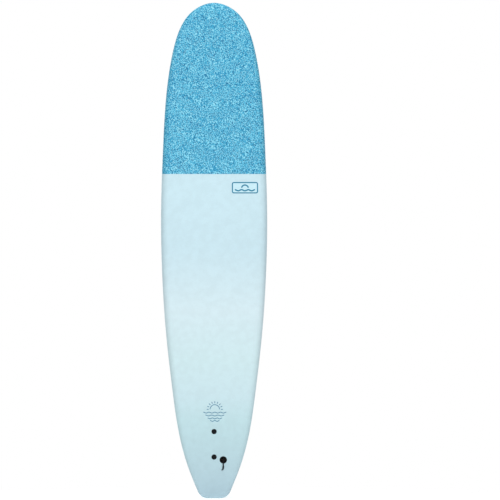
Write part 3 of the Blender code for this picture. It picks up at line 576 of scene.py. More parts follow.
def smooth_route(route):
    """Evenly spaced points on a Catmull-Rom curve through a route on the deck."""
    points = [Vector(on_deck(p)) for p in route]
    padded = [2 * points[0] - points[1], *points, 2 * points[-1] - points[-2]]
    fine = []
    for a, b, c, d in zip(padded, padded[1:], padded[2:], padded[3:], strict=False):
        bend, twist = 2 * a - 5 * b + 4 * c - d, 3 * b - a - 3 * c + d
        for t in (k / 20 for k in range(20)):
            fine.append(b + ((c - a) * t + bend * t**2 + twist * t**3) / 2)
    fine.append(points[-1])
    lengths = np.concatenate([[0], np.cumsum([(q - p).length for p, q in zip(fine, fine[1:], strict=False)])])
    at = np.linspace(0, lengths[-1], max(2, round(lengths[-1] / ROUTE_SPACING)) + 1)
    table = np.array([tuple(p) for p in fine])
    return [Vector([np.interp(a, lengths, table[:, k]) for k in range(3)]) for a in at]


def braided_tube(points, closed=False):
    """Vertices and faces of the cord along these points, with the strands of its braid standing proud."""
    count, half = len(points), BRAID_STRANDS / 2
    vertices, faces = [], []
    side, run = None, 0.0
    for i, here in enumerate(points):
        ahead = points[(i + 1) % count] if closed or i + 1 < count else here
        behind = points[i - 1] if closed or i else here
        forward = (ahead - behind).normalized()
        if side is None:
            side = forward.orthogonal().normalized()
        side = (side - forward * side.dot(forward)).normalized()
        other = forward.cross(side)
        turn = 2 * math.pi * run / BRAID_PITCH
        for angle in (2 * math.pi * k / AROUND_CORD for k in range(AROUND_CORD)):
            weave = math.sin(half * angle + turn * half / 2) * math.sin(half * angle - turn * half / 2)
            reach = STRING_DIAMETER / 2 * (1 + BRAID_RELIEF * (weave - 0.35))
            vertices.append(here + (side * math.cos(angle) + other * math.sin(angle)) * reach)
        run += (ahead - here).length
    for i in range(count if closed else count - 1):
        first, second = i * AROUND_CORD, (i + 1) % count * AROUND_CORD
        for k in range(AROUND_CORD):
            n = (k + 1) % AROUND_CORD
            faces.append((first + k, first + n, second + n, second + k))
    if not closed:
        faces.append(tuple(reversed(range(AROUND_CORD))))
        faces.append(tuple(range((count - 1) * AROUND_CORD, count * AROUND_CORD)))
    return vertices, faces


def joined(parts):
    """Several (vertices, faces) lists as one."""
    vertices, faces = [], []
    for more_vertices, more_faces in parts:
        start = len(vertices)
        vertices += more_vertices
        faces += [tuple(v + start for v in face) for face in more_faces]
    return vertices, faces


def knot_loop():
    """A trefoil in the knot's own ellipsoid, which is what a tight overhand knot looks like from outside."""
    centre = Vector(on_deck(KNOT_CENTRE))
    reach_x, reach_height, reach_z = (size * MM - STRING_DIAMETER / 2 for size in KNOT_HALF_SIZE)
    points = []
    for t in (2 * math.pi * k / KNOT_STEPS for k in range(KNOT_STEPS)):
        x = (math.sin(t) + 2 * math.sin(2 * t)) / 3
        z = (math.cos(t) - 2 * math.cos(2 * t)) / 3
        points.append(centre + Vector((x * reach_x, math.sin(3 * t) * reach_height, z * reach_z * 1.1)))
    return points


def cord_piece(name, node, tubes):
    mesh = mesh_of(name, *joined(tubes), sharp_degrees=80)
    return new_piece(link(name, mesh), CORD, "board", node)


def make_string():
    route = smooth_route(STRING_ROUTE)
    string = cord_piece("leash_string_braided", "leash_string", [braided_tube(route)])
    tails = [braided_tube(smooth_route(tail)) for tail in STRING_TAILS]
    knot = cord_piece("leash_knot_tied", "leash_knot", [braided_tube(knot_loop(), closed=True), *tails])


make_string()


# --- The board's surface, more finely than in the CAD ----------------------------------------------------
def hermite(start, end, start_slope, end_slope, span, t):
    """The place t of the way along a cubic with these ends, slopes and span."""
    return (
        (2 * t**3 - 3 * t**2 + 1) * start
        + (t**3 - 2 * t**2 + t) * span * start_slope
        + (3 * t**2 - 2 * t**3) * end
        + (t**3 - t**2) * span * end_slope
    )


def clamped_spline(points, start_direction, end_direction, per_span):
    """Points of a cubic spline through these points, timed by chord length, with both end directions set."""
    points = np.array(points, float)
    spans = np.linalg.norm(np.diff(points, axis=0), axis=1)
    count = len(points)
    system, sides = np.zeros((count, count)), np.zeros((count, 2))
    system[0, 0] = system[-1, -1] = 1.0
    sides[0], sides[-1] = start_direction, end_direction
    for i in range(1, count - 1):
        before, after = spans[i - 1], spans[i]
        system[i, i - 1 : i + 2] = after, 2 * (before + after), before
        slope_in = (points[i] - points[i - 1]) / before
        slope_out = (points[i + 1] - points[i]) / after
        sides[i] = 3 * (after * slope_in + before * slope_out)
    slopes = np.linalg.solve(system, sides)
    made = [points[0]]
    for i, span in enumerate(spans):
        for t in np.linspace(0, 1, per_span + 1)[1:]:
            made.append(hermite(points[i], points[i + 1], slopes[i], slopes[i + 1], span, t))
    return np.array(made)


def half_outline():
    """The right half of the outline as dense (x, z) points, from the nose tip to the tail's flat end."""
    turn = math.pi / 2 - TAIL_SIDE_ANGLE
    arc_x, arc_z = TAIL_FLAT_HALF_WIDTH, TAIL_CORNER_RADIUS
    stations = [(half * MM, LENGTH - from_nose * MM) for from_nose, half in OUTLINE_STATIONS]
    arc = [
        (arc_x + TAIL_CORNER_RADIUS * math.sin(a), arc_z - TAIL_CORNER_RADIUS * math.cos(a))
        for a in np.linspace(turn, 0, 60)
    ]
    along_side = (-math.sin(TAIL_SIDE_ANGLE), -math.cos(TAIL_SIDE_ANGLE))
    side = clamped_spline([*stations, arc[0]], (1.0, 0.0), along_side, 80)
    return np.vstack([side, arc[1:]])


def along(curve, shares):
    """Points of a polyline at these shares of its length, and the outward normals there."""
    lengths = np.concatenate([[0], np.cumsum(np.linalg.norm(np.diff(curve, axis=0), axis=1))])
    at = np.array(shares) * lengths[-1]
    points = np.column_stack([np.interp(at, lengths, curve[:, k]) for k in (0, 1)])
    tangents = np.gradient(curve, lengths, axis=0)
    tangents = np.column_stack([np.interp(at, lengths, tangents[:, k]) for k in (0, 1)])
    normals = np.column_stack([-tangents[:, 1], tangents[:, 0]])
    return points, normals / np.linalg.norm(normals, axis=1)[:, None]


def perimeter():
    """The whole outline as (points, outward normals), clockwise from the nose's left corner."""
    curve = half_outline()
    slope = np.degrees(np.arctan2(-np.gradient(curve[:, 1]), np.gradient(curve[:, 0])))
    nose_corner = int(np.argmax(slope > 45))
    tail_corner = int(len(slope) - 1 - np.argmax((slope < 135)[::-1]))
    halves = COLUMNS // 2
    nose = along(curve[: nose_corner + 1], np.linspace(0, 1, halves + 1))
    steps = np.linspace(0, 1, ROWS + 1)
    crowded = 0.85 * (1 - np.cos(np.pi * steps)) / 2 + 0.15 * steps
    side = along(curve[nose_corner : tail_corner + 1], crowded)
    corner = along(curve[tail_corner:], np.linspace(0, 1, halves))
    tail = [np.vstack([corner[0], [[0.0, 0.0]]]), np.vstack([corner[1], [[0.0, -1.0]]])]
    tail[1][-2] = (0.0, -1.0)
    half = [np.vstack([nose[k], side[k][1:], tail[k][1:]]) for k in (0, 1)]
    mirrored = [h[-2:0:-1] * (-1, 1) for h in half]
    return [np.roll(np.vstack([half[k], mirrored[k]]), halves, axis=0) for k in (0, 1)]


def rail_sections(points, normals, depth):
    """For each outline point, the surface's section at this depth, from the deck's edge to the bottom's."""
    sections = []
    for (x, z), normal in zip(points, normals, strict=True):
        tail = smooth((-normal[1] - 0.4) / 0.6)
        edge_thickness = bottom_y(z) - deck_y(x, z)
        apex = bottom_y(z) - mix(RAIL_APEX_SHARE, TAIL_APEX_SHARE, tail) * edge_thickness
        face = mix(RAIL_FACE_SHARE, TAIL_FACE_SHARE, tail) * edge_thickness
        upper, lower = apex - face, apex + face
        upper_width = mix(RAIL_WIDTH_TO_HEIGHT * (upper - deck_y(x, z)), TAIL_EDGE_RADIUS, tail) - depth
        lower_width = mix(RAIL_WIDTH_TO_HEIGHT * (bottom_y(z) - lower), TAIL_EDGE_RADIUS, tail) - depth
        wrap = mix(WRAP_WIDTH, WRAP_WIDTH + WRAP_EXTRA_AT_TAIL, tail)
        angles = [math.pi / 2 * k / UPPER_STEPS for k in range(UPPER_STEPS)]
        turns = [math.pi / 2 * k / TURN_STEPS for k in range(TURN_STEPS + 1)]
        upper_insets = [depth + upper_width * (1 - math.cos(angle)) for angle in reversed(angles)]
        lower_insets = [
            *(depth + (wrap - depth) * (1 - math.cos(turn)) for turn in turns),
            *np.linspace(wrap + GAP, wrap + BAND_WIDTH, BAND_STEPS + 1),
            *np.linspace(wrap + BAND_WIDTH + GAP, PATCH_INSET, SLICK_STEPS + 1),
        ]
        section = []
        for insets, start, width, level in (
            ([PATCH_INSET, *upper_insets], upper, upper_width, lambda px, pz: deck_y(px, pz) + depth),
            (lower_insets, lower, lower_width, lambda _, pz: bottom_y(pz) - depth),
        ):
            for inset in insets:
                px, pz = x - normal[0] * inset, z - normal[1] * inset
                rise = math.sqrt(1 - max(1 - (inset - depth) / width, 0.0) ** 2)
                section.append((px, mix(start, level(px, pz), rise), pz))
        sections.append(section)
    return sections


def patch(ring):
    """A grid of (x, z) places inside a ring: rows from the nose to the tail, columns from left to right."""
    plan = np.array([(p[0], p[2]) for p in ring])
    nose = plan[: COLUMNS + 1]
    right = plan[COLUMNS : COLUMNS + ROWS + 1]
    tail = plan[COLUMNS + ROWS : 2 * COLUMNS + ROWS + 1][::-1]
    left = np.vstack([plan[2 * COLUMNS + ROWS :], plan[:1]])[::-1]
    grid = []
    for i in range(ROWS + 1):
        to_tail, to_nose = (i / ROWS) ** 4, (1 - i / ROWS) ** 4
        line = []
        for j in range(COLUMNS + 1):
            across = j / COLUMNS
            ends = mix(nose[0], nose[-1], across) * to_nose + mix(tail[0], tail[-1], across) * to_tail
            sides = mix(left[i], right[i], across)
            line.append(nose[j] * to_nose + tail[j] * to_tail + sides - ends)
        grid.append(line)
    return grid


SKIN_STRIPS = UPPER_STEPS + 1 + TURN_STEPS
BAND_START, SLICK_START = SKIN_STRIPS + 1, SKIN_STRIPS + 2 + BAND_STEPS
DECK_SIDE = ("deck", *range(SKIN_STRIPS))
BAND_SIDE = tuple(range(BAND_START, BAND_START + BAND_STEPS))
SLICK_SIDE = (*range(SLICK_START, SLICK_START + SLICK_STEPS), "bottom")


def ring_position(i, j):
    """Where a patch's boundary point lies in the ring round it, or None inside the patch."""
    if i == 0:
        return j
    if j == COLUMNS:
        return COLUMNS + i
    if i == ROWS:
        return COLUMNS + ROWS + (COLUMNS - j)
    if j == 0:
        return 2 * COLUMNS + 2 * ROWS - i
    return None


def board_surface(depth):
    """The closed surface at this depth as (vertices, {region: quads}). The regions match at every depth."""
    sections = rail_sections(*perimeter(), depth)
    around, levels = len(sections), len(sections[0])
    vertices = [point for section in sections for point in section]

    def on_rail(i, level):
        return i % around * levels + level

    quads = {}
    for level in range(levels - 1):
        quads[level] = [
            (on_rail(i, level), on_rail(i + 1, level), on_rail(i + 1, level + 1), on_rail(i, level + 1))
            for i in range(around)
        ]
    for name, level in (("deck", 0), ("bottom", levels - 1)):
        index = {}
        for i, line in enumerate(patch([section[level] for section in sections])):
            for j, (x, z) in enumerate(line):
                on_ring = ring_position(i, j)
                if on_ring is None:
                    index[i, j] = len(vertices)
                    vertices.append((x, deck_y(x, z) + depth if name == "deck" else bottom_y(z) - depth, z))
                else:
                    index[i, j] = on_rail(on_ring, level)
        cells = [
            (index[i, j], index[i, j + 1], index[i + 1, j + 1], index[i + 1, j])
            for i in range(ROWS)
            for j in range(COLUMNS)
        ]
        quads[name] = [cell[::-1] for cell in cells] if name == "deck" else cells
    return vertices, quads


def shell(name, outside, inside, regions):
    """A closed sheet between two depths of the surface, over some regions."""
    (outer, faces), (inner, _) = outside, inside
    skin = [face for region in regions for face in faces[region]]
    return link(name, mesh_of(name, [*outer, *inner], sheet_faces(skin, len(outer))))


def keep_above(obj, z, sign):
    """Keeps the part of a closed sheet above (1) or below (-1) a level, and closes the cut."""
    work = bmesh.new()
    work.from_mesh(obj.data)
    geometry = [*work.verts, *work.edges, *work.faces]
    cut = bmesh.ops.bisect_plane(
        work, geom=geometry, dist=1e-7, plane_co=(0, 0, z), plane_no=(0, 0, -sign), clear_outer=True
    )
    edges = [e for e in cut["geom_cut"] if isinstance(e, bmesh.types.BMEdge) and e.is_boundary]
    bmesh.ops.holes_fill(work, edges=edges, sides=0)
    bmesh.ops.recalc_face_normals(work, faces=work.faces)
    work.to_mesh(obj.data)
    work.free()
    shade(obj.data)


# --- Skins of the board ----------------------------------------------------------------------------------
CUTTER_CLEARANCE = 20 * MM


def sleeve_cutter(side, station):
    """What the skins leave out round a screw: room for the head, the washer and the sleeve."""
    top = deck_y(0.0, station)
    end = -(bottom_y(station) - top) - CUTTER_CLEARANCE
    profile = [
        (0.0, CUTTER_CLEARANCE), (HEAD_RADIUS + GAP, CUTTER_CLEARANCE), (HEAD_RADIUS + GAP, WASHER_TOP),
        (SLEEVE_FLANGE_RADIUS + GAP, WASHER_TOP), (SLEEVE_FLANGE_RADIUS + GAP, SLEEVE_SHOULDER - GAP),
        (SLEEVE_RADIUS + GAP, SLEEVE_SHOULDER - GAP), (SLEEVE_RADIUS + GAP, end), (0.0, end),
    ]  # fmt: skip
    return turned(f"cutter_sleeve_{side}", profile, (0.0, top, station), edge=0.0)


def plug_cutter():
    seat, base = -PLUG_FLANGE_SEAT - GAP, -CUP_BASE - GAP
    profile = [
        (0.0, CUTTER_CLEARANCE), (PLUG_FLANGE_RADIUS + GAP, CUTTER_CLEARANCE),
        (PLUG_FLANGE_RADIUS + GAP, seat), (CUP_RADIUS + GAP, seat), (CUP_RADIUS + GAP, base), (0.0, base),
    ]  # fmt: skip
    return turned("cutter_plug", profile, (PLUG_X, deck_y(PLUG_X, PLUG_Z), PLUG_Z), edge=0.0)


def make_skins():
    outside = board_surface(0.0)
    under_skin, under_slick = board_surface(DECK_SKIN_THICKNESS), board_surface(SLICK_THICKNESS)
    nose = shell("nose_sheet", outside, under_skin, DECK_SIDE)
    keep_above(nose, SEAM_Z + GAP / 2, 1)
    new_piece(nose, PRINTED_FOAM, "board", "deck_skin_nose")

    sleeve_cutters = [sleeve_cutter(side, station) for side, station in SCREW_STATIONS.items()]
    cutters = [*sleeve_cutters, plug_cutter()]
    main = shell("main_sheet", outside, under_skin, DECK_SIDE)
    keep_above(main, SEAM_Z - GAP / 2, -1)
    combine(main, cutters, "DIFFERENCE")
    new_piece(main, PALE_FOAM, "board", "deck_skin_main")

    band = shell("white_edge_band", outside, under_slick, BAND_SIDE)
    new_piece(band, WHITE_BAND, "board", "edge_band")
    slick = shell("slick_sheet", outside, under_slick, SLICK_SIDE)
    combine(slick, sleeve_cutters, "DIFFERENCE")
    new_piece(slick, SLICK, "board", "slick_bottom")
    remove(cutters)


make_skins()


# --- Printed marks ---------------------------------------------------------------------------------------
INK_LIFT, INK_THICKNESS, LAYER_GAP, PRINT_STEP = 0.12 * MM, 0.1 * MM, 0.03 * MM, 5 * MM
BADGE_PLACES = {"deck": (171 * MM, 1720 * MM), "bottom": (-174 * MM, 1708 * MM)}
BADGE_HALF_SIZE = (69.5 * MM, 28.5 * MM)
TAIL_PRINT_PLACE = (4 * MM, 478 * MM)


def ribbon(points, width, closed=False):
    """A flat line of this width through (x, z) points, as (vertices, faces) in the plane of the print."""
    corners = [Vector(p) for p in points]
    points = []
    for here, ahead in zip(corners, corners[1:] + corners[:1] if closed else corners[1:], strict=False):
        pieces = max(1, math.ceil((ahead - here).length / PRINT_STEP))
        points += [here.lerp(ahead, k / pieces) for k in range(pieces)]
    if not closed:
        points.append(corners[-1])
    count = len(points)
    vertices = []
    for i, here in enumerate(points):
        ahead = points[(i + 1) % count] if closed or i + 1 < count else here
        behind = points[i - 1] if closed or i else here
        forward = (ahead - behind).normalized()
        side = Vector((-forward.y, forward.x)) * width / 2
        vertices += [here + side, here - side]
    faces = []
    for i in range(count if closed else count - 1):
        j = (i + 1) % count
        faces.append((2 * i, 2 * i + 1, 2 * j + 1, 2 * j))
    return vertices, faces


def arc(centre, radius, start, end, steps=40):
    """Points of an arc between two angles in degrees."""
    angles = np.radians(np.linspace(start, end, steps + 1))
    return [(centre[0] + radius * math.cos(a), centre[1] + radius * math.sin(a)) for a in angles]


def rounded_box(half_width, half_height, radius):
    points = []
    for x, z, start in ((1, 1, 0), (-1, 1, 90), (-1, -1, 180), (1, -1, 270)):
        centre = (x * (half_width - radius), z * (half_height - radius))
        points += arc(centre, radius, start, start + 90, 12)
    return points


def wave_line(length, height, waves, level, steps=90):
    """A line of rounded waves along X, centred on 0."""
    return [
        (length * (k / steps - 0.5), level + height * math.cos(2 * math.pi * waves * k / steps))
        for k in range(steps + 1)
    ]


def filled_box(half_width, half_height):
    """A flat grid that fills a box."""
    columns, rows = (max(1, round(2 * half / PRINT_STEP)) for half in (half_width, half_height))
    vertices = [
        (half_width * (2 * i / columns - 1), half_height * (2 * j / rows - 1))
        for j in range(rows + 1)
        for i in range(columns + 1)
    ]
    faces = [
        (a, a + 1, a + columns + 2, a + columns + 1)
        for a in (j * (columns + 1) + i for j in range(rows) for i in range(columns))
    ]
    return vertices, faces


def lay_print(name, shapes, centre, surface, look, slot, layer=0):
    """Lays flat shapes as thin closed ink just off the deck or the bottom, one layer over another."""
    vertices, faces = joined(shapes)
    base = INK_LIFT + layer * (INK_THICKNESS + LAYER_GAP)
    solid = []
    for lift in (base + INK_THICKNESS, base):
        for point in vertices:
            x, z = centre[0] + point[0], centre[1] + point[1]
            solid.append((x, deck_y(x, z) - lift if surface == "deck" else bottom_y(z) + lift, z))
    mesh = face_outwards(mesh_of(name, solid, sheet_faces(faces, len(vertices))))
    new_piece(link(name, mesh), look, "board", slot=slot)


def badge_shapes():
    """A rounded frame with a half sun over a wavy line."""
    return [
        ribbon(rounded_box(*BADGE_HALF_SIZE, 8 * MM), 6 * MM, closed=True),
        ribbon(arc((0.0, -4 * MM), 19 * MM, 12, 168), 7.5 * MM),
        ribbon(wave_line(112 * MM, 3 * MM, 3, -14 * MM), 7.5 * MM),
    ]


def sun_and_sea_shapes():
    """A half sun with a ring of short rays, over four wavy lines."""
    sun, line = (0.0, 14 * MM), 4.2 * MM
    rays = []
    for k in range(9):
        a = math.radians(22.5 * k)
        ends = [(sun[0] + r * math.cos(a), sun[1] + r * math.sin(a)) for r in (34 * MM, 45 * MM)]
        rays.append(ribbon(ends, line))
    waves = [
        ribbon(wave_line(length * MM, 2.4 * MM, waves, level * MM), line)
        for length, waves, level in ((128, 4, -4), (104, 3, -20), (80, 3, -36), (52, 2, -50))
    ]
    return [ribbon(arc(sun, 26 * MM, 0, 180), line), *rays, *waves]


for badge_side, badge_place in BADGE_PLACES.items():
    ground = [filled_box(*(half - 2 * MM for half in BADGE_HALF_SIZE))]
    lay_print(f"{badge_side}_badge_ground", ground, badge_place, badge_side, PALE_INK, "white_film")
    lay_print(f"{badge_side}_badge", badge_shapes(), badge_place, badge_side, TEAL_INK, "slick_sheet", 1)
lay_print("tail_print", sun_and_sea_shapes(), TAIL_PRINT_PLACE, "deck", GREY_INK, "slick_sheet")


# --- Fin screws, washers and sleeves ---------------------------------------------------------------------
THREAD_PITCH, THREAD_DEPTH, TIP_BEVEL, UNTHREADED = 2 * MM, 0.35 * MM, 1.5 * MM, 6 * MM


def make_screw(side, at):
    """A domed head with a coin slot, whose floor is an arc, on a shank with rounded threads."""
    head_top, shank_end = HEAD_HEIGHT - HEAD_SEAT, -SHANK_LENGTH + TIP_BEVEL
    root, threads = SHANK_RADIUS - THREAD_DEPTH, int((SHANK_LENGTH - UNTHREADED) / THREAD_PITCH)
    shank = []
    for k in range(threads):
        top = shank_end + (threads - k) * THREAD_PITCH
        shank += [(SHANK_RADIUS, top), (SHANK_RADIUS, top - 0.3 * THREAD_PITCH)]
        shank += [(root, top - 0.55 * THREAD_PITCH), (root, top - 0.75 * THREAD_PITCH)]
    dome = ((0.62, 0.12), (0.80, 0.42), (0.92, 0.95), (1.0, 1.9))  # share of the radius, drop in millimetres
    profile = [
        (0.0, head_top), *((share * HEAD_RADIUS, head_top - drop * MM) for share, drop in dome),
        (HEAD_RADIUS, -HEAD_SEAT), (SHANK_RADIUS, -HEAD_SEAT), *shank,
        (SHANK_RADIUS, shank_end), (SHANK_RADIUS - TIP_BEVEL, -SHANK_LENGTH), (0.0, -SHANK_LENGTH),
    ]  # fmt: skip
    screw = turned(f"screw_{side}", profile, at, edge=0.12 * MM)
    long, wide, deep = COIN_SLOT
    face, rise = at[1] - head_top, 2 * MM
    floor = [(x, deep * (1 - (2 * x / long) ** 2)) for x in np.linspace(-long / 2, long / 2, 17)]
    outline = [(x, face + depth + 0.25 * MM) for x, depth in floor]
    outline += [(long / 2, face - rise), (-long / 2, face - rise)]
    slot = loft(f"slot_{side}", [[(x, y, at[2] + end * wide / 2) for x, y in outline] for end in (-1, 1)])
    combine(screw, [slot], "DIFFERENCE")
    remove([slot])
    return screw


def make_screw_set(side, station):
    at = (0.0, deck_y(0.0, station), station)
    end = -(bottom_y(station) - at[1]) + 1.0 * MM
    profile = [
        (SLEEVE_FLANGE_RADIUS, SLEEVE_TOP), (SLEEVE_FLANGE_RADIUS, SLEEVE_SHOULDER),
        (SLEEVE_RADIUS, SLEEVE_SHOULDER), (SLEEVE_RADIUS, end), (SLEEVE_BORE, end), (SLEEVE_BORE, SLEEVE_TOP),
    ]  # fmt: skip
    new_piece(turned(f"sleeve_{side}", profile, at), BLACK_PLASTIC, "board", f"fin_sleeve_{side}")
    profile = tube_profile(WASHER_RADIUS, SHANK_RADIUS + GAP, WASHER_TOP, WASHER_TOP - WASHER_THICKNESS)
    new_piece(turned(f"washer_{side}", profile, at), BLACK_RUBBER, f"{side}_washer", f"fin_washer_{side}")
    new_piece(make_screw(side, at), BLACK_PLASTIC, f"{side}_screw", f"fin_screw_{side}")


for screw_side, screw_station in SCREW_STATIONS.items():
    make_screw_set(screw_side, screw_station)


# --- Leash plug ------------------------------------------------------------------------------------------
def make_plug():
    """The cup, with a bevelled rim that has a shallow groove round it, and the pin across the cup."""
    at = (PLUG_X, deck_y(PLUG_X, PLUG_Z), PLUG_Z)
    rim, top, bevel, groove = PLUG_FLANGE_RADIUS, PLUG_FLANGE_TOP, 1.2 * MM, PLUG_FLANGE_TOP - 0.25 * MM
    profile = [
        (0.0, -CUP_FLOOR), (CUP_BORE - 2 * MM, -CUP_FLOOR), (CUP_BORE, -CUP_FLOOR + 2 * MM),
        (CUP_BORE, top - bevel), (CUP_BORE + bevel, top), (rim - 4.4 * MM, top), (rim - 4.1 * MM, groove),
        (rim - 3.7 * MM, groove), (rim - 3.4 * MM, top), (rim - 1.6 * MM, top), (rim, top - bevel),
        (rim, -PLUG_FLANGE_SEAT), (CUP_RADIUS, -PLUG_FLANGE_SEAT), (CUP_RADIUS, -CUP_BASE), (0.0, -CUP_BASE),
    ]  # fmt: skip
    cup = turned("plug_cup", profile, at, edge=0.2 * MM, steps=96)
    new_piece(cup, BLACK_PLASTIC, "board", "leash_cup")
    half = PIN_HALF_LENGTH
    profile = [(0.0, half), (PIN_RADIUS, half), (PIN_RADIUS, -half), (0.0, -half)]
    pin = turned("plug_pin", profile, (0.0, 0.0, 0.0), edge=0.3 * MM)
    across = Matrix.Rotation(math.pi / 2, 4, "Z")
    pin.data.transform(Matrix.Translation((PLUG_X, at[1] + PIN_DEPTH, PLUG_Z)) @ across)
    new_piece(pin, STAINLESS, "board", "leash_pin")


make_plug()


# --- Fin -------------------------------------------------------------------------------------------------
# Side view of the blade as (distance towards the nose from the fin's centre, distance out from the board),
# in millimetres: Bezier control points of the leading and the trailing edge, from the root to the tip.
LEADING_EDGE = ((92, 0), (78, 88), (0, 176), (-118, 205))
TRAILING_EDGE = ((-86, 0), (-50, 42), (-42, 118), (-118, 205))
FOIL_POINTS = ((0.0, 0.16), (0.06, 0.55), (0.2, 0.92), (0.42, 1.0), (0.7, 0.68), (0.9, 0.3), (1.0, 0.14))
EDGE_STEPS, CHORD_STEPS, BLADE_STEPS, FLANGE_STEPS, CORNER_STEPS = 600, 22, 40, 40, 8
TIP_SHARE = 0.985  # where the blade's last section lies, as a share of its depth
BLADE_ROOT = 2 * MM
FILLET_HEIGHT, FILLET_FLARE = 9 * MM, 0.35
FLANGE_EDGE, FLANGE_EDGE_STEPS = 1.5 * MM, 5
POST_ROOT, INSERT_RECESS = 3 * MM, 0.5 * MM


def edge_at(control, out):
    """How far towards the nose a blade edge lies, this far out from the board."""
    t = np.linspace(0, 1, EDGE_STEPS)[:, None]
    p = np.array(control, float) * MM
    curve = (1 - t) ** 3 * p[0] + 3 * (1 - t) ** 2 * t * p[1] + 3 * (1 - t) * t * t * p[2] + t**3 * p[3]
    return float(np.interp(out, curve[:, 1], curve[:, 0]))


def foil_width(along_chord):
    """Half thickness of the foil as a share of its greatest, by a smooth curve through the CAD's points."""
    places, widths = zip(*FOIL_POINTS, strict=True)
    slopes = np.gradient(widths, places)
    i = next(i for i in range(len(places) - 1) if along_chord <= places[i + 1])
    span = places[i + 1] - places[i]
    t = (along_chord - places[i]) / span
    return hermite(widths[i], widths[i + 1], slopes[i], slopes[i + 1], span, t)


def blade_sections():
    """Sections of the blade from its root, inside the flange, to its tip, with a fillet at the flange."""
    tip_y = bottom_y(FIN_CENTRE) + FIN_DEPTH
    chord = [(1 - math.cos(math.pi * k / CHORD_STEPS)) / 2 for k in range(CHORD_STEPS + 1)]
    sections = []
    for k in range(BLADE_STEPS + 1):
        share = TIP_SHARE * math.sin(math.pi / 2 * k / BLADE_STEPS)
        out = share * FIN_DEPTH
        front, back = edge_at(LEADING_EDGE, out), edge_at(TRAILING_EDGE, out)
        half = mix(FIN_ROOT_THICKNESS, FIN_TIP_THICKNESS, share) / 2
        foil = [(mix(front, back, c), half * foil_width(c)) for c in chord]
        (front_z, front_x), (back_z, back_x) = foil[0], foil[-1]
        # One more point at each end rounds the leading and the trailing edge.
        leading, trailing = (front_z + 0.35 * front_x, 0.6 * front_x), (back_z - 0.35 * back_x, 0.6 * back_x)
        upper = [leading, *foil, trailing]
        loop = [*upper, *[(z, -x) for z, x in reversed(upper)]]
        flare = 1 + FILLET_FLARE * max(0.0, 1 - out / FILLET_HEIGHT) ** 2
        section = []
        for z, x in loop:
            root_y = bottom_y(FIN_CENTRE + z) + BLADE_ROOT
            section.append((x * flare, mix(root_y, tip_y, share), FIN_CENTRE + z))
        sections.append(section)
    return sections


def flange_sections():
    """Sections across the base flange, which follows the curve of the bottom, with its top edge rounded."""
    half_length, straight = FLANGE_LENGTH / 2, FLANGE_LENGTH / 2 - 1.5 * FLANGE_CORNER
    from_end = [(1 - math.cos(math.pi / 2 * k / CORNER_STEPS)) for k in range(CORNER_STEPS + 1)]
    rows = [-half_length + FLANGE_CORNER * share for share in from_end]
    rows += list(np.linspace(-straight, straight, FLANGE_STEPS))
    rows += [half_length - FLANGE_CORNER * share for share in reversed(from_end)]
    sections = []
    for row in rows:
        from_tip = half_length - abs(row)
        lack = max(FLANGE_CORNER - from_tip, 0.0)
        half = FLANGE_WIDTH / 2 - FLANGE_CORNER + math.sqrt(FLANGE_CORNER**2 - lack**2)
        seat = bottom_y(FIN_CENTRE + row) + GAP
        drop = FLANGE_EDGE * (1 - math.sqrt(1 - max(1 - from_tip / FLANGE_EDGE, 0.0) ** 2))
        face = seat + FLANGE_THICKNESS - drop
        right = []
        for a in (math.pi / 2 * k / FLANGE_EDGE_STEPS for k in range(FLANGE_EDGE_STEPS + 1)):
            right.append((half - FLANGE_EDGE * (1 - math.cos(a)), face - FLANGE_EDGE * (1 - math.sin(a))))
        loop = [(-half, seat), (half, seat), *right, *[(-x, y) for x, y in reversed(right)]]
        sections.append([(x, y, FIN_CENTRE + row) for x, y in loop])
    return sections


def make_fin():
    fin = loft("fin_moulding", flange_sections())
    joins = [loft("blade", blade_sections(), sharp_degrees=50)]
    bore_radius, bore_end = INSERT_RADIUS + GAP, POST_HEIGHT - POST_BORE_DEPTH
    insert_top = POST_HEIGHT - INSERT_RECESS
    post = [
        (0.0, bore_end), (bore_radius, bore_end), (bore_radius, POST_HEIGHT),
        (POST_RADIUS, POST_HEIGHT), (POST_RADIUS, -POST_ROOT), (0.0, -POST_ROOT),
    ]  # fmt: skip
    insert = tube_profile(INSERT_RADIUS, INSERT_BORE, insert_top, insert_top - INSERT_LENGTH)
    for side, station in SCREW_STATIONS.items():
        at = (0.0, bottom_y(station), station)
        joins.append(turned(f"post_{side}", post, at))
        new_piece(turned(f"insert_{side}", insert, at), BRASS, "fin", f"fin_insert_{side}")
    combine(fin, joins, "UNION")
    remove(joins)
    new_piece(fin, FIN_COMPOSITE, "fin", "fin")


make_fin()


# --- Inner layers keep their CAD solids ------------------------------------------------------------------
INNER_LOOKS = (
    (BACKING, ("bottom_foam",)),
    (LAMINATE, ("deck_laminate", "bottom_laminate")),
    (CORE, ("core_left", "core_centre", "core_right")),
    (PLY, ("stringer_left", "stringer_right")),
)
for inner_look, inner_nodes in INNER_LOOKS:
    for inner_node in inner_nodes:
        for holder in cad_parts[inner_node].material_slots:
            holder.material = inner_look


# --- Floor, light and picture settings -------------------------------------------------------------------
FLOOR_RADIUS, FLOOR_RINGS, FLOOR_STEPS, FLOOR_DROP = 2.2, 12, 96, 0.5 * MM
BOARD_MIDDLE = (0.0, 0.0, 1.4)
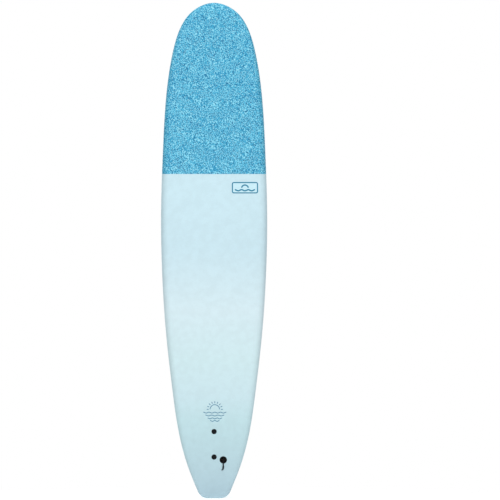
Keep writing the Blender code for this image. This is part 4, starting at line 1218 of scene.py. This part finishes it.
# Each area light's place, the point it faces, its size across and up, and its power.
LIGHTS = {
    "key": ((-2.4, -6.5, 3.0), BOARD_MIDDLE, (2.2, 4.0), 164),
    "fill": ((2.8, -6.0, 1.8), BOARD_MIDDLE, (2.0, 4.0), 105),
    "top": ((0.0, -1.0, 5.6), (0.0, 0.0, 2.2), (3.0, 3.0), 60),
    "back_left": ((-3.0, 6.0, 2.6), BOARD_MIDDLE, (2.0, 4.0), 130),
    "back_right": ((3.0, 6.0, 2.0), BOARD_MIDDLE, (2.0, 4.0), 116),
}
AMBIENT_STRENGTH, BACKGROUND_STRENGTH = 0.35, 1.0


def make_floor():
    """A pale disc that fades out towards its edge, so that it has no visible horizon."""
    vertices = [(0.0, 0.0, -FLOOR_DROP)]
    for ring in range(1, FLOOR_RINGS + 1):
        reach = FLOOR_RADIUS * ring / FLOOR_RINGS
        for k in range(FLOOR_STEPS):
            a = 2 * math.pi * k / FLOOR_STEPS
            vertices.append((reach * math.cos(a), reach * math.sin(a), -FLOOR_DROP))
    faces = [(0, 1 + k, 1 + (k + 1) % FLOOR_STEPS) for k in range(FLOOR_STEPS)]
    for first in range(1, 1 + (FLOOR_RINGS - 1) * FLOOR_STEPS, FLOOR_STEPS):
        faces += ring_quads(first, first + FLOOR_STEPS, FLOOR_STEPS)
    g = Graph("pale_floor", 0.9, specular=0.0)
    from_middle = g.node("ShaderNodeVectorMath", {"operation": "LENGTH"})
    g.set(from_middle, 0, g.scaled((1.0, 1.0, 0.0)))
    paper = g.steps(g.noise(0.12, detail=3.0), 0.3, 0.7, 0.92, 0.95)
    g.set(g.shader, "Emission Color", (1.0, 1.0, 1.0))
    g.set(g.shader, "Emission Strength", 0.42)
    fade = g.steps(from_middle.outputs["Value"], 0.25 * FLOOR_RADIUS, FLOOR_RADIUS, 1.0, 0.0)
    g.set(g.shader, "Alpha", fade)
    floor = link("floor", mesh_of("floor", vertices, faces))
    floor.data.materials.append(g.finish(g.grey(paper)))


def make_lights():
    for name, (place, target, size, power) in LIGHTS.items():
        data = bpy.data.lights.new(name, "AREA")
        data.shape, data.size, data.size_y = "RECTANGLE", *size
        data.energy = power
        light = link(name, data)
        light.location = place
        light.rotation_euler = (Vector(target) - Vector(place)).to_track_quat("-Z", "Y").to_euler()
        light.visible_camera = False


def make_world():
    """Dim white light from all round, and a plain white background that only the camera sees."""
    world = bpy.data.worlds.new("studio")
    bpy.context.scene.world = world
    world.use_nodes = True
    nodes, links = world.node_tree.nodes, world.node_tree.links
    nodes.clear()
    choose, output = nodes.new("ShaderNodeMixShader"), nodes.new("ShaderNodeOutputWorld")
    for socket, strength in ((1, AMBIENT_STRENGTH), (2, BACKGROUND_STRENGTH)):
        sky = nodes.new("ShaderNodeBackground")
        sky.inputs["Color"].default_value = (1.0, 1.0, 1.0, 1.0)
        sky.inputs["Strength"].default_value = strength
        links.new(sky.outputs[0], choose.inputs[socket])
    ray = nodes.new("ShaderNodeLightPath")
    links.new(ray.outputs["Is Camera Ray"], choose.inputs["Fac"])
    links.new(choose.outputs[0], output.inputs["Surface"])


make_floor()
make_lights()
make_world()
bpy.context.scene.view_settings.view_transform = "Standard"
bpy.context.scene.view_settings.look = "None"
